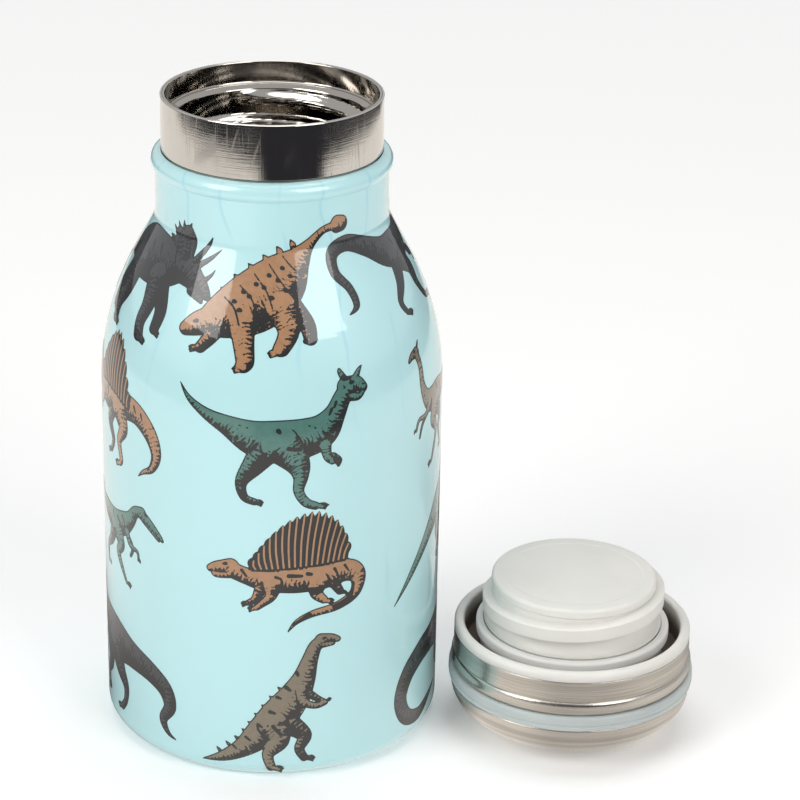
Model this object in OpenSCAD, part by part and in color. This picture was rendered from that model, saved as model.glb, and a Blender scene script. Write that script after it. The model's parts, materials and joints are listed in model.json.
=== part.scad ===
// Small vacuum-insulated steel bottle, shown open: the screw cap lies upside down beside it.
// Origin at the centre of the bottle's base, +Z up. Millimetres.

/* [Bottle body] */
// Outside diameter of the painted body
body_d = 70; // [60:0.5:90]
// Height at which the straight side turns into the shoulder
body_h = 75; // [50:0.5:120]
// Radius of the rounded bottom edge
base_corner_r = 4.2; // [2:0.1:6]
// Radius of the shoulder curve
shoulder_r = 58; // [30:1:90]
// Steepest lean of the shoulder from vertical
shoulder_lean = 28; // [20:1:45]
// Radius of the hollow curve between the shoulder and the neck groove
groove_fillet_r = 3; // [1:0.1:6]
// Height of the straight groove under the stop bead
groove_h = 8.8; // [4:0.1:16]
// Roundness of the stop bead under the steel collar
bead_round_r = 2.1; // [1.5:0.1:3]
// How far the bead stands out from the steel collar
bead_step = 2; // [1:0.1:2.9]
// How far the groove stands out from the steel collar
groove_step = 1.2; // [0.8:0.1:1.8]

/* [Neck] */
// Outside diameter of the polished steel collar
neck_d = 44.4; // [38:0.2:54]
// Height of the collar above the bead
collar_h = 11.4; // [9:0.1:16]
// Length of the collar hidden below the bead
collar_tuck = 5; // [2:0.1:8]
// How far the collar is necked in where it meets the bead
collar_relief = 0.15; // [0.05:0.05:0.15]
// Height of the necked-in line that shows above the bead
collar_relief_h = 0.4; // [0.2:0.1:1]
// Depth of the smooth mouth, from the rim to the sealing ledge
mouth_depth = 4.5; // [4:0.1:6]
// Width of the sealing ledge inside the mouth
ledge_w = 1.5; // [1:0.1:2]
// How far the rolled thread stands in from the neck wall
neck_thread_h = 1.6; // [1.2:0.1:2]
// Turns of rolled thread inside the neck
neck_thread_turns = 2.75; // [1.5:0.25:3]

/* [Walls] */
// Sheet thickness of the painted outer shell
outer_wall = 0.6; // [0.4:0.1:1]
// Sheet thickness of the inner flask
inner_wall = 0.5; // [0.4:0.1:0.8]
// Sheet thickness of the neck collar
collar_wall = 0.4; // [0.3:0.1:0.6]
// Width of the vacuum space between the two walls
vacuum_gap = 3.1; // [2:0.1:5]
// Height of the vacuum space under the inner flask
base_gap = 4.6; // [4:0.1:8]
// Thickness of the disc under the bottle
base_cover_t = 0.5; // [0.4:0.1:1]

/* [Cap shell] */
// Height of the steel top cup
cap_top_h = 10.2; // [8:0.1:14]
// Radius of the flat in the middle of the top
cap_flat_r = 8; // [4:0.5:12]
// Height of the silicone grip band
grip_h = 3.5; // [2:0.1:6]
// How far the grip band stands out from the skirt
grip_step = 1; // [0.6:0.1:2]
// Height of the rounded bead of the skirt
skirt_bead_h = 2.9; // [2:0.1:4]
// How far that bead stands out from the skirt
skirt_bead_step = 0.5; // [0.3:0.1:0.9]
// Height of the straight part of the skirt
skirt_band_h = 4.6; // [3:0.1:7]
// Height of the white lip round the open end
lip_h = 2; // [1.5:0.1:3]
// Thickness of the liner wall behind the skirt
liner_wall = 1.55; // [1.2:0.05:2.5]
// Sheet thickness of the cap's steel parts
cap_wall = 0.5; // [0.4:0.1:0.7]
// Depth of the ring-shaped gap that takes the bottle's rim
rim_gap_depth = 6.8; // [6:0.1:8]

/* [Stopper] */
// How far the stopper reaches out past the lip
plug_len = 10.7; // [9.5:0.1:14]
// Thickness of the end disc
end_t = 2.2; // [1.8:0.1:3]
// How far the stopper's thread stands out from its core
plug_thread_h = 1.9; // [1.5:0.1:2.1]
// Width of that thread at its crest
plug_thread_w = 2.8; // [2:0.1:3]
// Turns of thread on the stopper
plug_thread_turns = 1.1; // [0.8:0.05:1.15]
// Thickness of the stopper's wall
plug_wall = 1.8; // [1.2:0.1:2.4]
// Height of the gasket ring
gasket_h = 2.6; // [2:0.1:3]

/* [Thread and fits] */
// Distance the cap moves in one turn
thread_pitch = 5; // [4.5:0.1:6]
// Gap between the rim and the stopper when the cap is held over the mouth
hold_gap = 2.5; // [1:0.5:6]
// Gap between the collar and the liner that slides over it
skirt_clearance = 0.55; // [0.4:0.05:1]
// Gap between the gasket and the mouth's wall
gasket_clearance = 0.95; // [0.5:0.05:1.4]
// Gap between the neck thread's crest and the stopper's core
thread_clearance = 1; // [0.7:0.05:1.2]
// Running gap between pieces that turn on each other
running_gap = 0.2; // [0.15:0.05:0.3]
// Gap left between gasket and ledge when the cap is shut
seal_gap = 0.1; // [0.05:0.05:0.3]
// Gap between sheets and mouldings that are fixed together
joint_gap = 0.05; // [0.02:0.01:0.1]

/* [Resting place of the cap] */
// Gap between the body and the cap on the table
rest_gap = 3; // [1:0.5:40]
// Direction of the cap from the bottle, from +X towards +Y
rest_angle = -7.7; // [-180:0.1:180]

/* [Hidden] */
$fn = 96;
ARC_STEPS = 10;
RIDGE_STEPS = 36;

// Bottle radii and heights
body_r = body_d / 2;
neck_r = neck_d / 2;
groove_r = neck_r + groove_step;
bead_r = neck_r + bead_step;
lean = min(shoulder_lean, acos(1 - (body_r - groove_r) / (shoulder_r + groove_fillet_r)));
cone_len = max(0, (body_r - groove_r - (shoulder_r + groove_fillet_r) * (1 - cos(lean))) / sin(lean));
fillet_z = body_h + (shoulder_r + groove_fillet_r) * sin(lean) + cone_len * cos(lean);
groove_top = fillet_z + groove_h;
bead_centre_r = bead_r - bead_round_r;
bead_z = groove_top + sqrt(pow(bead_round_r, 2) - pow(groove_r - bead_centre_r, 2));
hem_r = neck_r + joint_gap;
hem_angle = acos((hem_r - bead_centre_r) / bead_round_r);
collar_foot = bead_z + bead_round_r * sin(hem_angle);
rim_z = collar_foot + collar_h;
// The hidden length narrows by this much towards its end, so that it enters the bead freely
collar_taper = 0.1;

// Inner flask
flask_inset = outer_wall + vacuum_gap;
flask_r = body_r - flask_inset;
flask_corner_r = 6;
flask_base_w = 8;
rim_bevel = 0.2;
mouth_r = neck_r - collar_wall - joint_gap - inner_wall;
ledge_z = rim_z - mouth_depth;
neck_bore_r = mouth_r - ledge_w;
neck_crest_r = neck_bore_r - neck_thread_h;
ledge_slope_h = 0.9;
ledge_flat_w = 0.55 * ledge_w;
// Rolled thread inside the neck: width at its root and at its crest
neck_thread_root_w = 2.4;
neck_thread_w = 0.7;
// How far a ridge is sunk into the wall that it stands on
ridge_sink = 0.2;
// Raised middle of the closing disc under the flask
flask_base_rise = 1.2;
flask_base_rim_w = 1.5;
flask_base_slope_w = 1.5;
foil_end_gap = 1;

// Base
foot_w = 2.6;
foot_in_r = body_r - base_corner_r - foot_w;
base_disc_gap = 0.15;
base_disc_z = outer_wall + base_disc_gap;
base_disc_t = 0.6;
dimple_r = 8;
dimple_rise = 1.6;
dimple_slope_w = 2;
sheet_shift = 0.3;
vent_r = 1;
seal_head_r = 2.2;
seal_head_t = 0.8;
getter_x = 16;
getter_r = 3.5;
getter_t = 1.2;
clip_t = 0.3;
clip_w = 3;
foil_t = 0.12;
foil_clearance = 0.25;

// Cap, measured upwards from the table as it lies
grip_low = cap_top_h;
grip_high = grip_low + grip_h;
skirt_high = grip_high + skirt_bead_h + skirt_band_h;
lip_z = skirt_high + lip_h;
cap_end_z = lip_z + plug_len;
liner_bore_r = neck_r + skirt_clearance;
liner_out_r = liner_bore_r + liner_wall;
skirt_r = liner_out_r + joint_gap + cap_wall;
grip_r = skirt_r + grip_step;
web_top = lip_z - rim_gap_depth;
web_t = 1.8;
top_inset = cap_wall + joint_gap;
top_r = skirt_r + skirt_bead_step * 0.8;
top_side_h = 1;
top_edge = 0.3;
bead_root = 0.1;
grip_edge_r = 0.6;
liner_top_t = 1.2;
lip_out_round = 0.9;
lip_in_round = 0.6;

// Stopper
plug_core_r = neck_crest_r - thread_clearance;
plug_crest_r = plug_core_r + plug_thread_h;
plug_bore_r = plug_core_r - plug_wall;
spigot_step = 1;
spigot_r = plug_core_r + spigot_step;
snap_step = 0.8;
snap_h = 1.6;
gasket_r = mouth_r - gasket_clearance;
gasket_bevel = 0.4;
gasket_round = 0.9;
gasket_rise = 0.1;
gasket_high = lip_z + gasket_rise;
gasket_low = gasket_high - gasket_h;
// Seat of the gasket, and the hollow between it and the thread
seat_step = 1.2;
seat_flare = 0.3;
shelf_w = 0.9;
hollow_w = seat_step + seat_flare;
hollow_h = 2.8;
hollow_rise = 3.2;
seat_r = plug_core_r + seat_step;
root_r = seat_r + shelf_w;
end_low = cap_end_z - end_t;
end_step = 0.15;
end_r = plug_core_r + end_step;
end_edge_r = 1.3;
end_crown = 0.25;
end_bevel = 0.4;
// Rebate that the end disc is welded into
rebate_h = 0.8;
rebate_gap = 0.1;
thread_rise = 5.7;
thread_mid = lip_z + thread_rise;
thread_end_gap = 0.1;

// Where the cap lies, and how it closes
cap_dist = body_r + rest_gap + grip_r;
cap_x = cap_dist * cos(rest_angle);
cap_y = cap_dist * sin(rest_angle);
closed_top = ledge_z + seal_gap + gasket_high;
closing_travel = rim_z - (closed_top - cap_end_z) + hold_gap;
swing_z = (closed_top + closing_travel) / 2;
// The stopper's thread passes this height at azimuth 0 as it lies
front_angle = -90;
plug_helix_z = thread_mid - thread_pitch * front_angle / 360;
// Turned over about the swing axis, it runs on this helix in the bottle
swing_azimuth = rest_angle - 90;
closed_helix_z = 2 * swing_z - plug_helix_z - thread_pitch * swing_azimuth / 180;
neck_helix_z = closed_helix_z + thread_pitch / 2;
neck_thread_gap = 1.5;
neck_thread_top = ledge_z - ledge_slope_h - neck_thread_gap;

// The insulation puck is as thick as the cavity allows while the cap moves round it
foam_gap = 0.5;
foam_r = plug_bore_r - foam_gap;
foam_top = end_low - foam_gap;
cavity_inset = top_inset + liner_top_t;
cavity_low = cap_top_h - top_side_h - (cap_top_h - top_side_h - cavity_inset)
    * sqrt(1 - pow((foam_r - cap_flat_r) / (top_r - cavity_inset - cap_flat_r), 2));
foam_t = foam_top - closing_travel - cavity_low - foam_gap;

function rev(p) = [for (i = [len(p) - 1 : -1 : 0]) p[i]];
function arc(cr, cz, r, a0, a1, n = ARC_STEPS) =
    [for (i = [0 : n]) let (a = a0 + (a1 - a0) * i / n) [cr + r * cos(a), cz + r * sin(a)]];
function oval(cr, cz, rr, rz, a0, a1, n = ARC_STEPS) =
    [for (i = [0 : n]) let (a = a0 + (a1 - a0) * i / n) [cr + rr * cos(a), cz + rz * sin(a)]];

// Side of the body and shoulder, set in by "inset" from the painted surface
function side(inset) = concat(
    arc(body_r - shoulder_r, body_h, shoulder_r - inset, 0, lean, 2 * ARC_STEPS),
    arc(groove_r + groove_fillet_r, fillet_z, groove_fillet_r + inset, 180 + lean, 180));

// Ridge that winds up a cylinder. It passes height z0 at azimuth 0, runs from angle a0 to a1
// and is cut flat at height z_max.
module ridge(root_r, crest_r, root_w, crest_w, z0, a0, a1, z_max = 1000) {
    n = ceil((a1 - a0) / 360 * RIDGE_STEPS);
    fade = RIDGE_STEPS / 9;
    function grow(i) = max(0.02, min(1, i / fade, (n - i) / fade));
    function ring(i) = let (
        a = a0 + (a1 - a0) * i / n,
        z = z0 + thread_pitch * a / 360,
        top = root_r + (crest_r - root_r) * grow(i),
        w = root_w + (crest_w - root_w) * grow(i))
        [for (p = [[root_r, -root_w / 2], [top, -w / 2], [top, w / 2], [root_r, root_w / 2]])
            [p[0] * cos(a), p[0] * sin(a), min(z + p[1], z_max)]];
    points = [for (i = [0 : n]) each ring(i)];
    quads = [for (i = [0 : n - 1], k = [0 : 3])
        let (b = 4 * i, c = (k + 1) % 4) [b + k, b + c, b + 4 + c, b + 4 + k]];
    sides = [for (q = quads) each [[q[0], q[1], q[2]], [q[0], q[2], q[3]]]];
    last = 4 * n;
    caps = [[3, 2, 1], [3, 1, 0], [last, last + 1, last + 2], [last, last + 2, last + 3]];
    faces = concat(sides, caps);
    flip = crest_r > root_r;
    polyhedron(points, flip ? faces : [for (f = faces) rev(f)], convexity = 10);
}

module at_cap() translate([cap_x, cap_y, 0]) children();

module outer_shell() color("paleturquoise") rotate_extrude() polygon(concat(
    [[foot_in_r, 0]],
    arc(body_r - base_corner_r, base_corner_r, base_corner_r, -90, 0),
    side(0),
    arc(bead_centre_r, bead_z, bead_round_r, -acos((groove_r - bead_centre_r) / bead_round_r), hem_angle),
    rev(arc(bead_centre_r, bead_z, bead_round_r - outer_wall,
        -acos((groove_r - outer_wall - bead_centre_r) / (bead_round_r - outer_wall)),
        acos((hem_r - bead_centre_r) / (bead_round_r - outer_wall)))),
    rev(side(outer_wall)),
    rev(arc(body_r - base_corner_r, base_corner_r, base_corner_r - outer_wall, -90, 0)),
    [[foot_in_r, outer_wall]]));

module neck_collar() color("silver") rotate_extrude() polygon([
    [neck_r - collar_wall, collar_foot - collar_tuck],
    [neck_r - collar_relief - collar_taper, collar_foot - collar_tuck],
    [neck_r - collar_relief, collar_foot + collar_relief_h],
    [neck_r, collar_foot + collar_relief_h],
    [neck_r, rim_z - rim_bevel],
    [neck_r - rim_bevel, rim_z],
    [neck_r - collar_wall, rim_z]]);

// Inner flask, set in by "inset" from the painted surface, with its neck at radius neck_at
function flask_side(inset, neck_at) = let (
    low = base_gap + outer_wall,
    curve_r = groove_fillet_r + inset,
    meet_z = fillet_z - curve_r * sin(lean)
        + (groove_r + groove_fillet_r - curve_r * cos(lean) - neck_at) / tan(lean))
    concat(
        arc(flask_r - flask_corner_r, low + flask_corner_r,
            flask_corner_r - (inset - flask_inset), -90, 0),
        arc(body_r - shoulder_r, body_h, shoulder_r - inset, 0, lean, 2 * ARC_STEPS),
        [[neck_at, meet_z]]);

module inner_flask() color("lightgray") {
    low = base_gap + outer_wall;
    neck_out_r = neck_bore_r + inner_wall;
    rotate_extrude() polygon(concat(
        [[flask_r - flask_base_w, low]],
        flask_side(flask_inset, neck_out_r),
        [[neck_out_r, ledge_z - ledge_slope_h - inner_wall / 2],
         [mouth_r + inner_wall, ledge_z - inner_wall],
         [mouth_r + inner_wall, rim_z],
         [mouth_r + rim_bevel, rim_z],
         [mouth_r, rim_z - rim_bevel],
         [mouth_r, ledge_z],
         [mouth_r - ledge_flat_w, ledge_z],
         [neck_bore_r, ledge_z - ledge_slope_h]],
        rev(flask_side(flask_inset + inner_wall, neck_bore_r)),
        [[flask_r - flask_base_w, low + inner_wall]]));
    top_angle = 360 * (neck_thread_top - neck_helix_z) / thread_pitch;
    ridge(neck_bore_r + ridge_sink, neck_crest_r, neck_thread_root_w, neck_thread_w, neck_helix_z,
        top_angle - 360 * neck_thread_turns, top_angle);
}

module inner_flask_base() color("lightgray") {
    r = flask_r - flask_base_w - joint_gap;
    low = base_gap + outer_wall;
    slope_out_r = r - flask_base_rim_w;
    slope_in_r = slope_out_r - flask_base_slope_w;
    rotate_extrude() polygon([
        [0, low + flask_base_rise], [slope_in_r, low + flask_base_rise], [slope_out_r, low], [r, low],
        [r, low + inner_wall], [slope_out_r + sheet_shift, low + inner_wall],
        [slope_in_r + sheet_shift, low + flask_base_rise + inner_wall],
        [0, low + flask_base_rise + inner_wall]]);
}

module foil_wrap() color("darkgoldenrod") {
    low = base_gap + outer_wall + flask_corner_r + foil_end_gap;
    translate([0, 0, low]) difference() {
        cylinder(h = body_h - low - foil_end_gap, r = flask_r + foil_clearance + foil_t);
        translate([0, 0, -1]) cylinder(h = body_h, r = flask_r + foil_clearance);
    }
}

module outer_base() color("gray") {
    r = body_r - base_corner_r;
    rotate_extrude() polygon([
        [vent_r, base_disc_z + dimple_rise], [dimple_r - dimple_slope_w, base_disc_z + dimple_rise],
        [dimple_r, base_disc_z], [r, base_disc_z],
        [r, base_disc_z + base_disc_t], [dimple_r + sheet_shift, base_disc_z + base_disc_t],
        [dimple_r - dimple_slope_w + sheet_shift, base_disc_z + dimple_rise + base_disc_t],
        [vent_r, base_disc_z + dimple_rise + base_disc_t]]);
}

module base_cover() color("paleturquoise")
    cylinder(h = base_cover_t, r = foot_in_r - running_gap);

module vacuum_seal() color("dimgray")
    translate([0, 0, base_disc_z + dimple_rise - seal_head_t]) {
        cylinder(h = seal_head_t - joint_gap, r = seal_head_r);
        cylinder(h = seal_head_t + base_disc_t, r = vent_r - joint_gap);
    }

module getter() color("slategray")
    translate([getter_x, 0, base_disc_z + base_disc_t + clip_t + 2 * joint_gap])
        cylinder(h = getter_t, r = getter_r);

module getter_clip() color("silver") {
    // A strip under the pill with two turned-up ends that hold its sides
    z = base_disc_z + base_disc_t + joint_gap;
    wide = 2 * (getter_r + clip_t) + running_gap;
    translate([getter_x - wide / 2, -clip_w / 2, z]) cube([wide, clip_w, clip_t]);
    for (s = [-1, 1])
        translate([getter_x + s * (wide - clip_t) / 2 - clip_t / 2, -clip_w / 2, z])
            cube([clip_t, clip_w, clip_t + getter_t]);
}

// Outside of the steel top: a flat, a wide oval edge, then a short straight side
function top_outline(inset) = let (side_z = cap_top_h - top_side_h)
    concat([[0, inset]],
        oval(cap_flat_r, side_z, top_r - inset - cap_flat_r, side_z - inset, -90, 0, 16));

module cap_top() color("silver") at_cap() rotate_extrude() polygon(concat(
    top_outline(0),
    [[top_r, cap_top_h - top_edge], [top_r - top_edge, cap_top_h], [top_r - cap_wall, cap_top_h]],
    rev(top_outline(cap_wall))));

module cap_skirt() color("silver") at_cap() rotate_extrude() {
    mid = grip_high + skirt_bead_h / 2;
    half = skirt_bead_h / 2;
    polygon(concat(
        [[skirt_r - cap_wall, grip_high], [skirt_r - bead_root, grip_high]],
        oval(skirt_r - bead_root, mid, skirt_bead_step + bead_root, half, -75, 75),
        [[skirt_r, grip_high + skirt_bead_h], [skirt_r, skirt_high],
         [skirt_r - cap_wall, skirt_high]]));
}

module grip_band() color("lightblue") at_cap() rotate_extrude() {
    low = grip_low + joint_gap;
    high = grip_high - joint_gap;
    polygon(concat(
        [[liner_out_r + joint_gap, low]],
        arc(grip_r - grip_edge_r, low + grip_edge_r, grip_edge_r, -90, 0, 4),
        arc(grip_r - grip_edge_r, high - grip_edge_r, grip_edge_r, 0, 90, 4),
        [[liner_out_r + joint_gap, high]]));
}

module cap_liner() color("whitesmoke") at_cap() rotate_extrude() {
    polygon(concat(
        top_outline(top_inset),
        [[liner_out_r, cap_top_h], [liner_out_r, skirt_high + joint_gap],
         [skirt_r, skirt_high + joint_gap]],
        arc(skirt_r - lip_out_round, lip_z - lip_out_round, lip_out_round, 0, 90, 5),
        arc(liner_bore_r + lip_in_round, lip_z - lip_in_round, lip_in_round, 90, 180, 4),
        [[liner_bore_r, web_top], [spigot_r + joint_gap, web_top],
         [spigot_r + joint_gap, web_top - web_t], [liner_bore_r, web_top - web_t],
         [liner_bore_r, cap_top_h - top_side_h]],
        rev(top_outline(cavity_inset))));
}

module stopper() color("whitesmoke") at_cap() {
    rotate_extrude() polygon(concat(
        [[plug_bore_r, web_top - web_t - snap_h - joint_gap],
         [spigot_r, web_top - web_t - snap_h - joint_gap],
         [spigot_r + snap_step, web_top - web_t - snap_h / 2],
         [spigot_r + snap_step, web_top - web_t - joint_gap],
         [spigot_r, web_top - web_t - joint_gap],
         [spigot_r, web_top + joint_gap],
         [root_r, web_top + joint_gap],
         [root_r, gasket_low - running_gap],
         [seat_r, gasket_low - running_gap],
         [seat_r, gasket_high - gasket_bevel],
         [seat_r + seat_flare, gasket_high + running_gap]],
        oval(seat_r + seat_flare, gasket_high + hollow_rise, hollow_w, hollow_h, -90, -180, 8),
        [[plug_core_r, end_low],
         [plug_bore_r + plug_wall / 2, end_low],
         [plug_bore_r + plug_wall / 2, end_low - rebate_h - rebate_gap],
         [plug_bore_r, end_low - rebate_h - rebate_gap]]));
    turn = 360 * plug_thread_turns;
    ridge(plug_core_r - ridge_sink, plug_crest_r, plug_thread_w + 1, plug_thread_w, plug_helix_z,
        front_angle - turn / 2, front_angle + turn / 2, end_low - thread_end_gap);
}

module stopper_end() color("whitesmoke") at_cap() rotate_extrude() polygon(concat(
    [[0, end_low + joint_gap],
     [plug_bore_r + joint_gap, end_low + joint_gap],
     [plug_bore_r + joint_gap, end_low - rebate_h],
     [plug_bore_r + plug_wall / 2 - joint_gap, end_low - rebate_h],
     [plug_bore_r + plug_wall / 2 - joint_gap, end_low + joint_gap],
     [end_r - end_bevel, end_low + joint_gap], [end_r, end_low + joint_gap + end_bevel]],
    arc(end_r - end_edge_r, cap_end_z - end_crown - end_edge_r, end_edge_r, 0, 90, 6),
    [[end_r * 0.5, cap_end_z - end_crown * 0.2], [0, cap_end_z]]));

module stopper_gasket() color("gainsboro") at_cap() rotate_extrude() polygon(concat(
    [[seat_r + running_gap, gasket_low]],
    [[gasket_r - gasket_bevel, gasket_low], [gasket_r, gasket_low + gasket_bevel]],
    arc(gasket_r - gasket_round, gasket_high - gasket_round, gasket_round, 0, 90, 6),
    [[seat_r + seat_flare + running_gap, gasket_high],
     [seat_r + running_gap, gasket_high - gasket_bevel]]));

module stopper_foam() color("white") at_cap()
    translate([0, 0, foam_top - foam_t]) cylinder(h = foam_t, r = foam_r);

outer_shell();
neck_collar();
inner_flask();
inner_flask_base();
foil_wrap();
outer_base();
base_cover();
vacuum_seal();
getter();
getter_clip();
cap_top();
cap_skirt();
grip_band();
cap_liner();
stopper();
stopper_end();
stopper_gasket();
stopper_foam();
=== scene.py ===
# %% [markdown]
# # A small steel bottle with a printed dinosaur pattern, cap off
# This lesson dresses a mechanical model of a vacuum-insulated bottle. The model
# arrives as a fixed frame: every piece already has its size, its place and its
# joints, and we only make what the eye sees. The bottle is metal and almost
# everything on it is turned on a lathe, so most shapes here are an outline spun
# round an axis. The pattern on the paint is the other half of the work.

# %% Load the frame
import json
import math
import bpy
import numpy as np
from mathutils import Euler, Matrix, Vector

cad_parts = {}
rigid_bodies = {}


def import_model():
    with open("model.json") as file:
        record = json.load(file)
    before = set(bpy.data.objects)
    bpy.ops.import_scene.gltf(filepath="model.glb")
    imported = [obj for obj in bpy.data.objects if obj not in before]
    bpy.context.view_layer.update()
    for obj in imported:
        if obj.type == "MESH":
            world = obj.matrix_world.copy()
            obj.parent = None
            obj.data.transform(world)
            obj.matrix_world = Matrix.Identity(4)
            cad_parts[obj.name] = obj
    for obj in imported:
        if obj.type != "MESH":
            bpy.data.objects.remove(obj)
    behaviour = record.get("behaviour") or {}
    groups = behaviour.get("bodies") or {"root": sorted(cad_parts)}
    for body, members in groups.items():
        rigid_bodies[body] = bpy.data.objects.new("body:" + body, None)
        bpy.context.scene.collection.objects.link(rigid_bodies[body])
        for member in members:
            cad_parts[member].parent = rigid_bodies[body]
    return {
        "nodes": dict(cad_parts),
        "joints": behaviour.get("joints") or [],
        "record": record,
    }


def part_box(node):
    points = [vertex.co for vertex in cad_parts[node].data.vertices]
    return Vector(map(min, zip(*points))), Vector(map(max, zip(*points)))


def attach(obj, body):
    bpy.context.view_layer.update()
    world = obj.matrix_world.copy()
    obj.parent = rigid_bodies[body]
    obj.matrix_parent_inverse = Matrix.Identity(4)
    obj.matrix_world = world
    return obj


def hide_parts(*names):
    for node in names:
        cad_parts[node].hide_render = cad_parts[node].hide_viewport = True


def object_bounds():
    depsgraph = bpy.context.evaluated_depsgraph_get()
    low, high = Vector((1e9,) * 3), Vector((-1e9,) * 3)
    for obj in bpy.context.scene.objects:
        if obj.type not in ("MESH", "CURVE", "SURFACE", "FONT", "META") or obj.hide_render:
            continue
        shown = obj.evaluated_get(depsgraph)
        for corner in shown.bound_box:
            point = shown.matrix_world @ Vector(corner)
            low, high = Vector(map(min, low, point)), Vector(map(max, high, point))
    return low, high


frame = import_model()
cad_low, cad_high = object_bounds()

MM = 0.001
scene = bpy.context.scene
print("frame box in mm:", [round(v / MM, 1) for v in (*cad_low, *cad_high)])

# %% [markdown]
# ## The camera
# A camera is placed before anything else, so that every picture is framed the
# same way. It stands in front of the bottle and a little above the rim, with
# a long lens, which keeps the bottle's sides nearly parallel. It could look at the
# middle of the whole group, but the bottle's axis would then lean in the picture.
# So it is pitched down first and then turned a little about its own upright axis.

# %% Place the camera
CAMERA_BACK = 548.4 * MM
CAMERA_HEIGHT = 305.3 * MM
PITCH_DOWN = math.radians(23.25)
TURN_RIGHT = math.radians(2.533)
camera_data = bpy.data.cameras.new("camera")
camera_data.sensor_width = 36
camera_data.lens = 129.9
camera_data.clip_start = 0.01
camera_data.clip_end = 100
camera = bpy.data.objects.new("camera", camera_data)
camera.location = (0, -CAMERA_BACK, CAMERA_HEIGHT)
look_down = Euler((math.pi / 2 - PITCH_DOWN, 0, 0)).to_matrix()
look_right = Euler((0, -TURN_RIGHT, 0)).to_matrix()
camera.rotation_euler = (look_down @ look_right).to_euler()
scene.collection.objects.link(camera)
scene.camera = camera
print("camera at", [round(v / MM) for v in camera.location], "mm")

# %% [markdown]
# ## Sizes that the frame gives
# Nothing is measured twice. The outside of each piece is read from the frame's
# boxes, and what a box can't say, such as the radius of the shoulder, is a named
# value in millimetres. With the two together, each outline below meets its
# neighbours exactly as the mechanical pieces do.

# %% Read the sizes of the bottle
shell_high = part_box("outer_shell")[1]
collar_low, collar_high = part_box("neck_collar")
body_r = shell_high.x
neck_r = collar_high.x
rim_z = collar_high.z
collar_foot = shell_high.z
foot_z = collar_low.z
outer_wall = 0.6 * MM
collar_wall = 0.4 * MM
flask_wall = 0.5 * MM
base_corner_r = 4.2 * MM
shoulder_r = 58 * MM
shoulder_lean = math.radians(28)
groove_fillet_r = 3 * MM
groove_h = 8.8 * MM
groove_r = neck_r + 1.2 * MM
bead_r = neck_r + 2 * MM
bead_round_r = 2.1 * MM
hair_gap = 0.05 * MM
bead_centre_r = bead_r - bead_round_r
hem_angle = math.acos((neck_r + hair_gap - bead_centre_r) / bead_round_r)
bead_z = collar_foot - bead_round_r * math.sin(hem_angle)
groove_angle = math.acos((groove_r - bead_centre_r) / bead_round_r)
groove_top = bead_z - bead_round_r * math.sin(groove_angle)
fillet_z = groove_top - groove_h
sweep = shoulder_r + groove_fillet_r
cone_len = (body_r - groove_r - sweep * (1 - math.cos(shoulder_lean))) / math.sin(shoulder_lean)
body_h = fillet_z - sweep * math.sin(shoulder_lean) - cone_len * math.cos(shoulder_lean)
print(f"body {2 * body_r / MM:.1f} mm across, straight to {body_h / MM:.1f} mm, rim at {rim_z / MM:.1f} mm")

# %% [markdown]
# The cap lies upside down beside the bottle. Its own axis comes from the frame,
# and so do the height of each band on it and the pitch of its thread: the slide
# that lifts the cap follows the turn, and that ratio is the lead of the screw.

# %% Read the sizes of the cap and its screw
top_low, top_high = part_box("cap_top")
band_low, band_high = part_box("grip_band")
skirt_low, skirt_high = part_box("cap_skirt")
liner_low, liner_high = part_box("cap_liner")
plug_low, plug_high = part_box("stopper")
end_low, end_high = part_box("stopper_end")
gasket_low, gasket_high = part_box("stopper_gasket")
flask_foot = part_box("inner_flask")[0].z
cap_axis = (top_low + top_high) / 2
lip_z = liner_high.z
skirt_r = (liner_high.x - liner_low.x) / 2
joints = {j["name"]: j for j in frame["joints"]}
lead = frame["record"]["behaviour"]["couplings"][0]["ratio"] * 2 * math.pi
swing_z = joints["cap_carry"]["pos_m"][2]
print(f"cap axis at {cap_axis.x / MM:.1f}, {cap_axis.y / MM:.1f} mm; one turn lifts it {lead / MM:.2f} mm")

# %% [markdown]
# ## How a turned piece is made
# A lathe turns an outline into a solid. Blender's Screw modifier or Spin tool
# would do it once, but here it is a Geometry Nodes tree, because ten pieces use
# it and two of them carry a screw thread. The tree lays out a grid with one row
# for each outline point and one column for each step round the axis, and bends
# it to (radius, angle, height). A thread is a rule on top: where the height
# follows the angle, the wall rises. First come two helpers that keep the node
# code short.

# %% Helpers for node trees
def add(tree, kind, inputs=None, **settings):
    """Adds a node. Inputs maps a socket's name or number to a value or to another socket."""
    made = tree.nodes.new(kind)
    for key, value in settings.items():
        setattr(made, key, value)
    for key, value in (inputs or {}).items():
        if isinstance(value, bpy.types.NodeSocket):
            tree.links.new(value, made.inputs[key])
        else:
            made.inputs[key].default_value = value
    return made


def maths(tree, operation, *terms, clamp=False):
    node = add(tree, "ShaderNodeMath", dict(enumerate(terms)), operation=operation, use_clamp=clamp)
    return node.outputs[0]


def chain(operation):
    """A function that joins two or more terms with one kind of maths node, from left to right."""
    def joined(*terms):
        made = terms[0]
        for term in terms[1:]:
            socket = made if isinstance(made, bpy.types.NodeSocket) else term
            made = maths(socket.id_data, operation, made, term)
        return made
    return joined


plus, minus, times, over = (chain(kind) for kind in ("ADD", "SUBTRACT", "MULTIPLY", "DIVIDE"))
least, most, less, more = (chain(kind) for kind in ("MINIMUM", "MAXIMUM", "LESS_THAN", "GREATER_THAN"))


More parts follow.
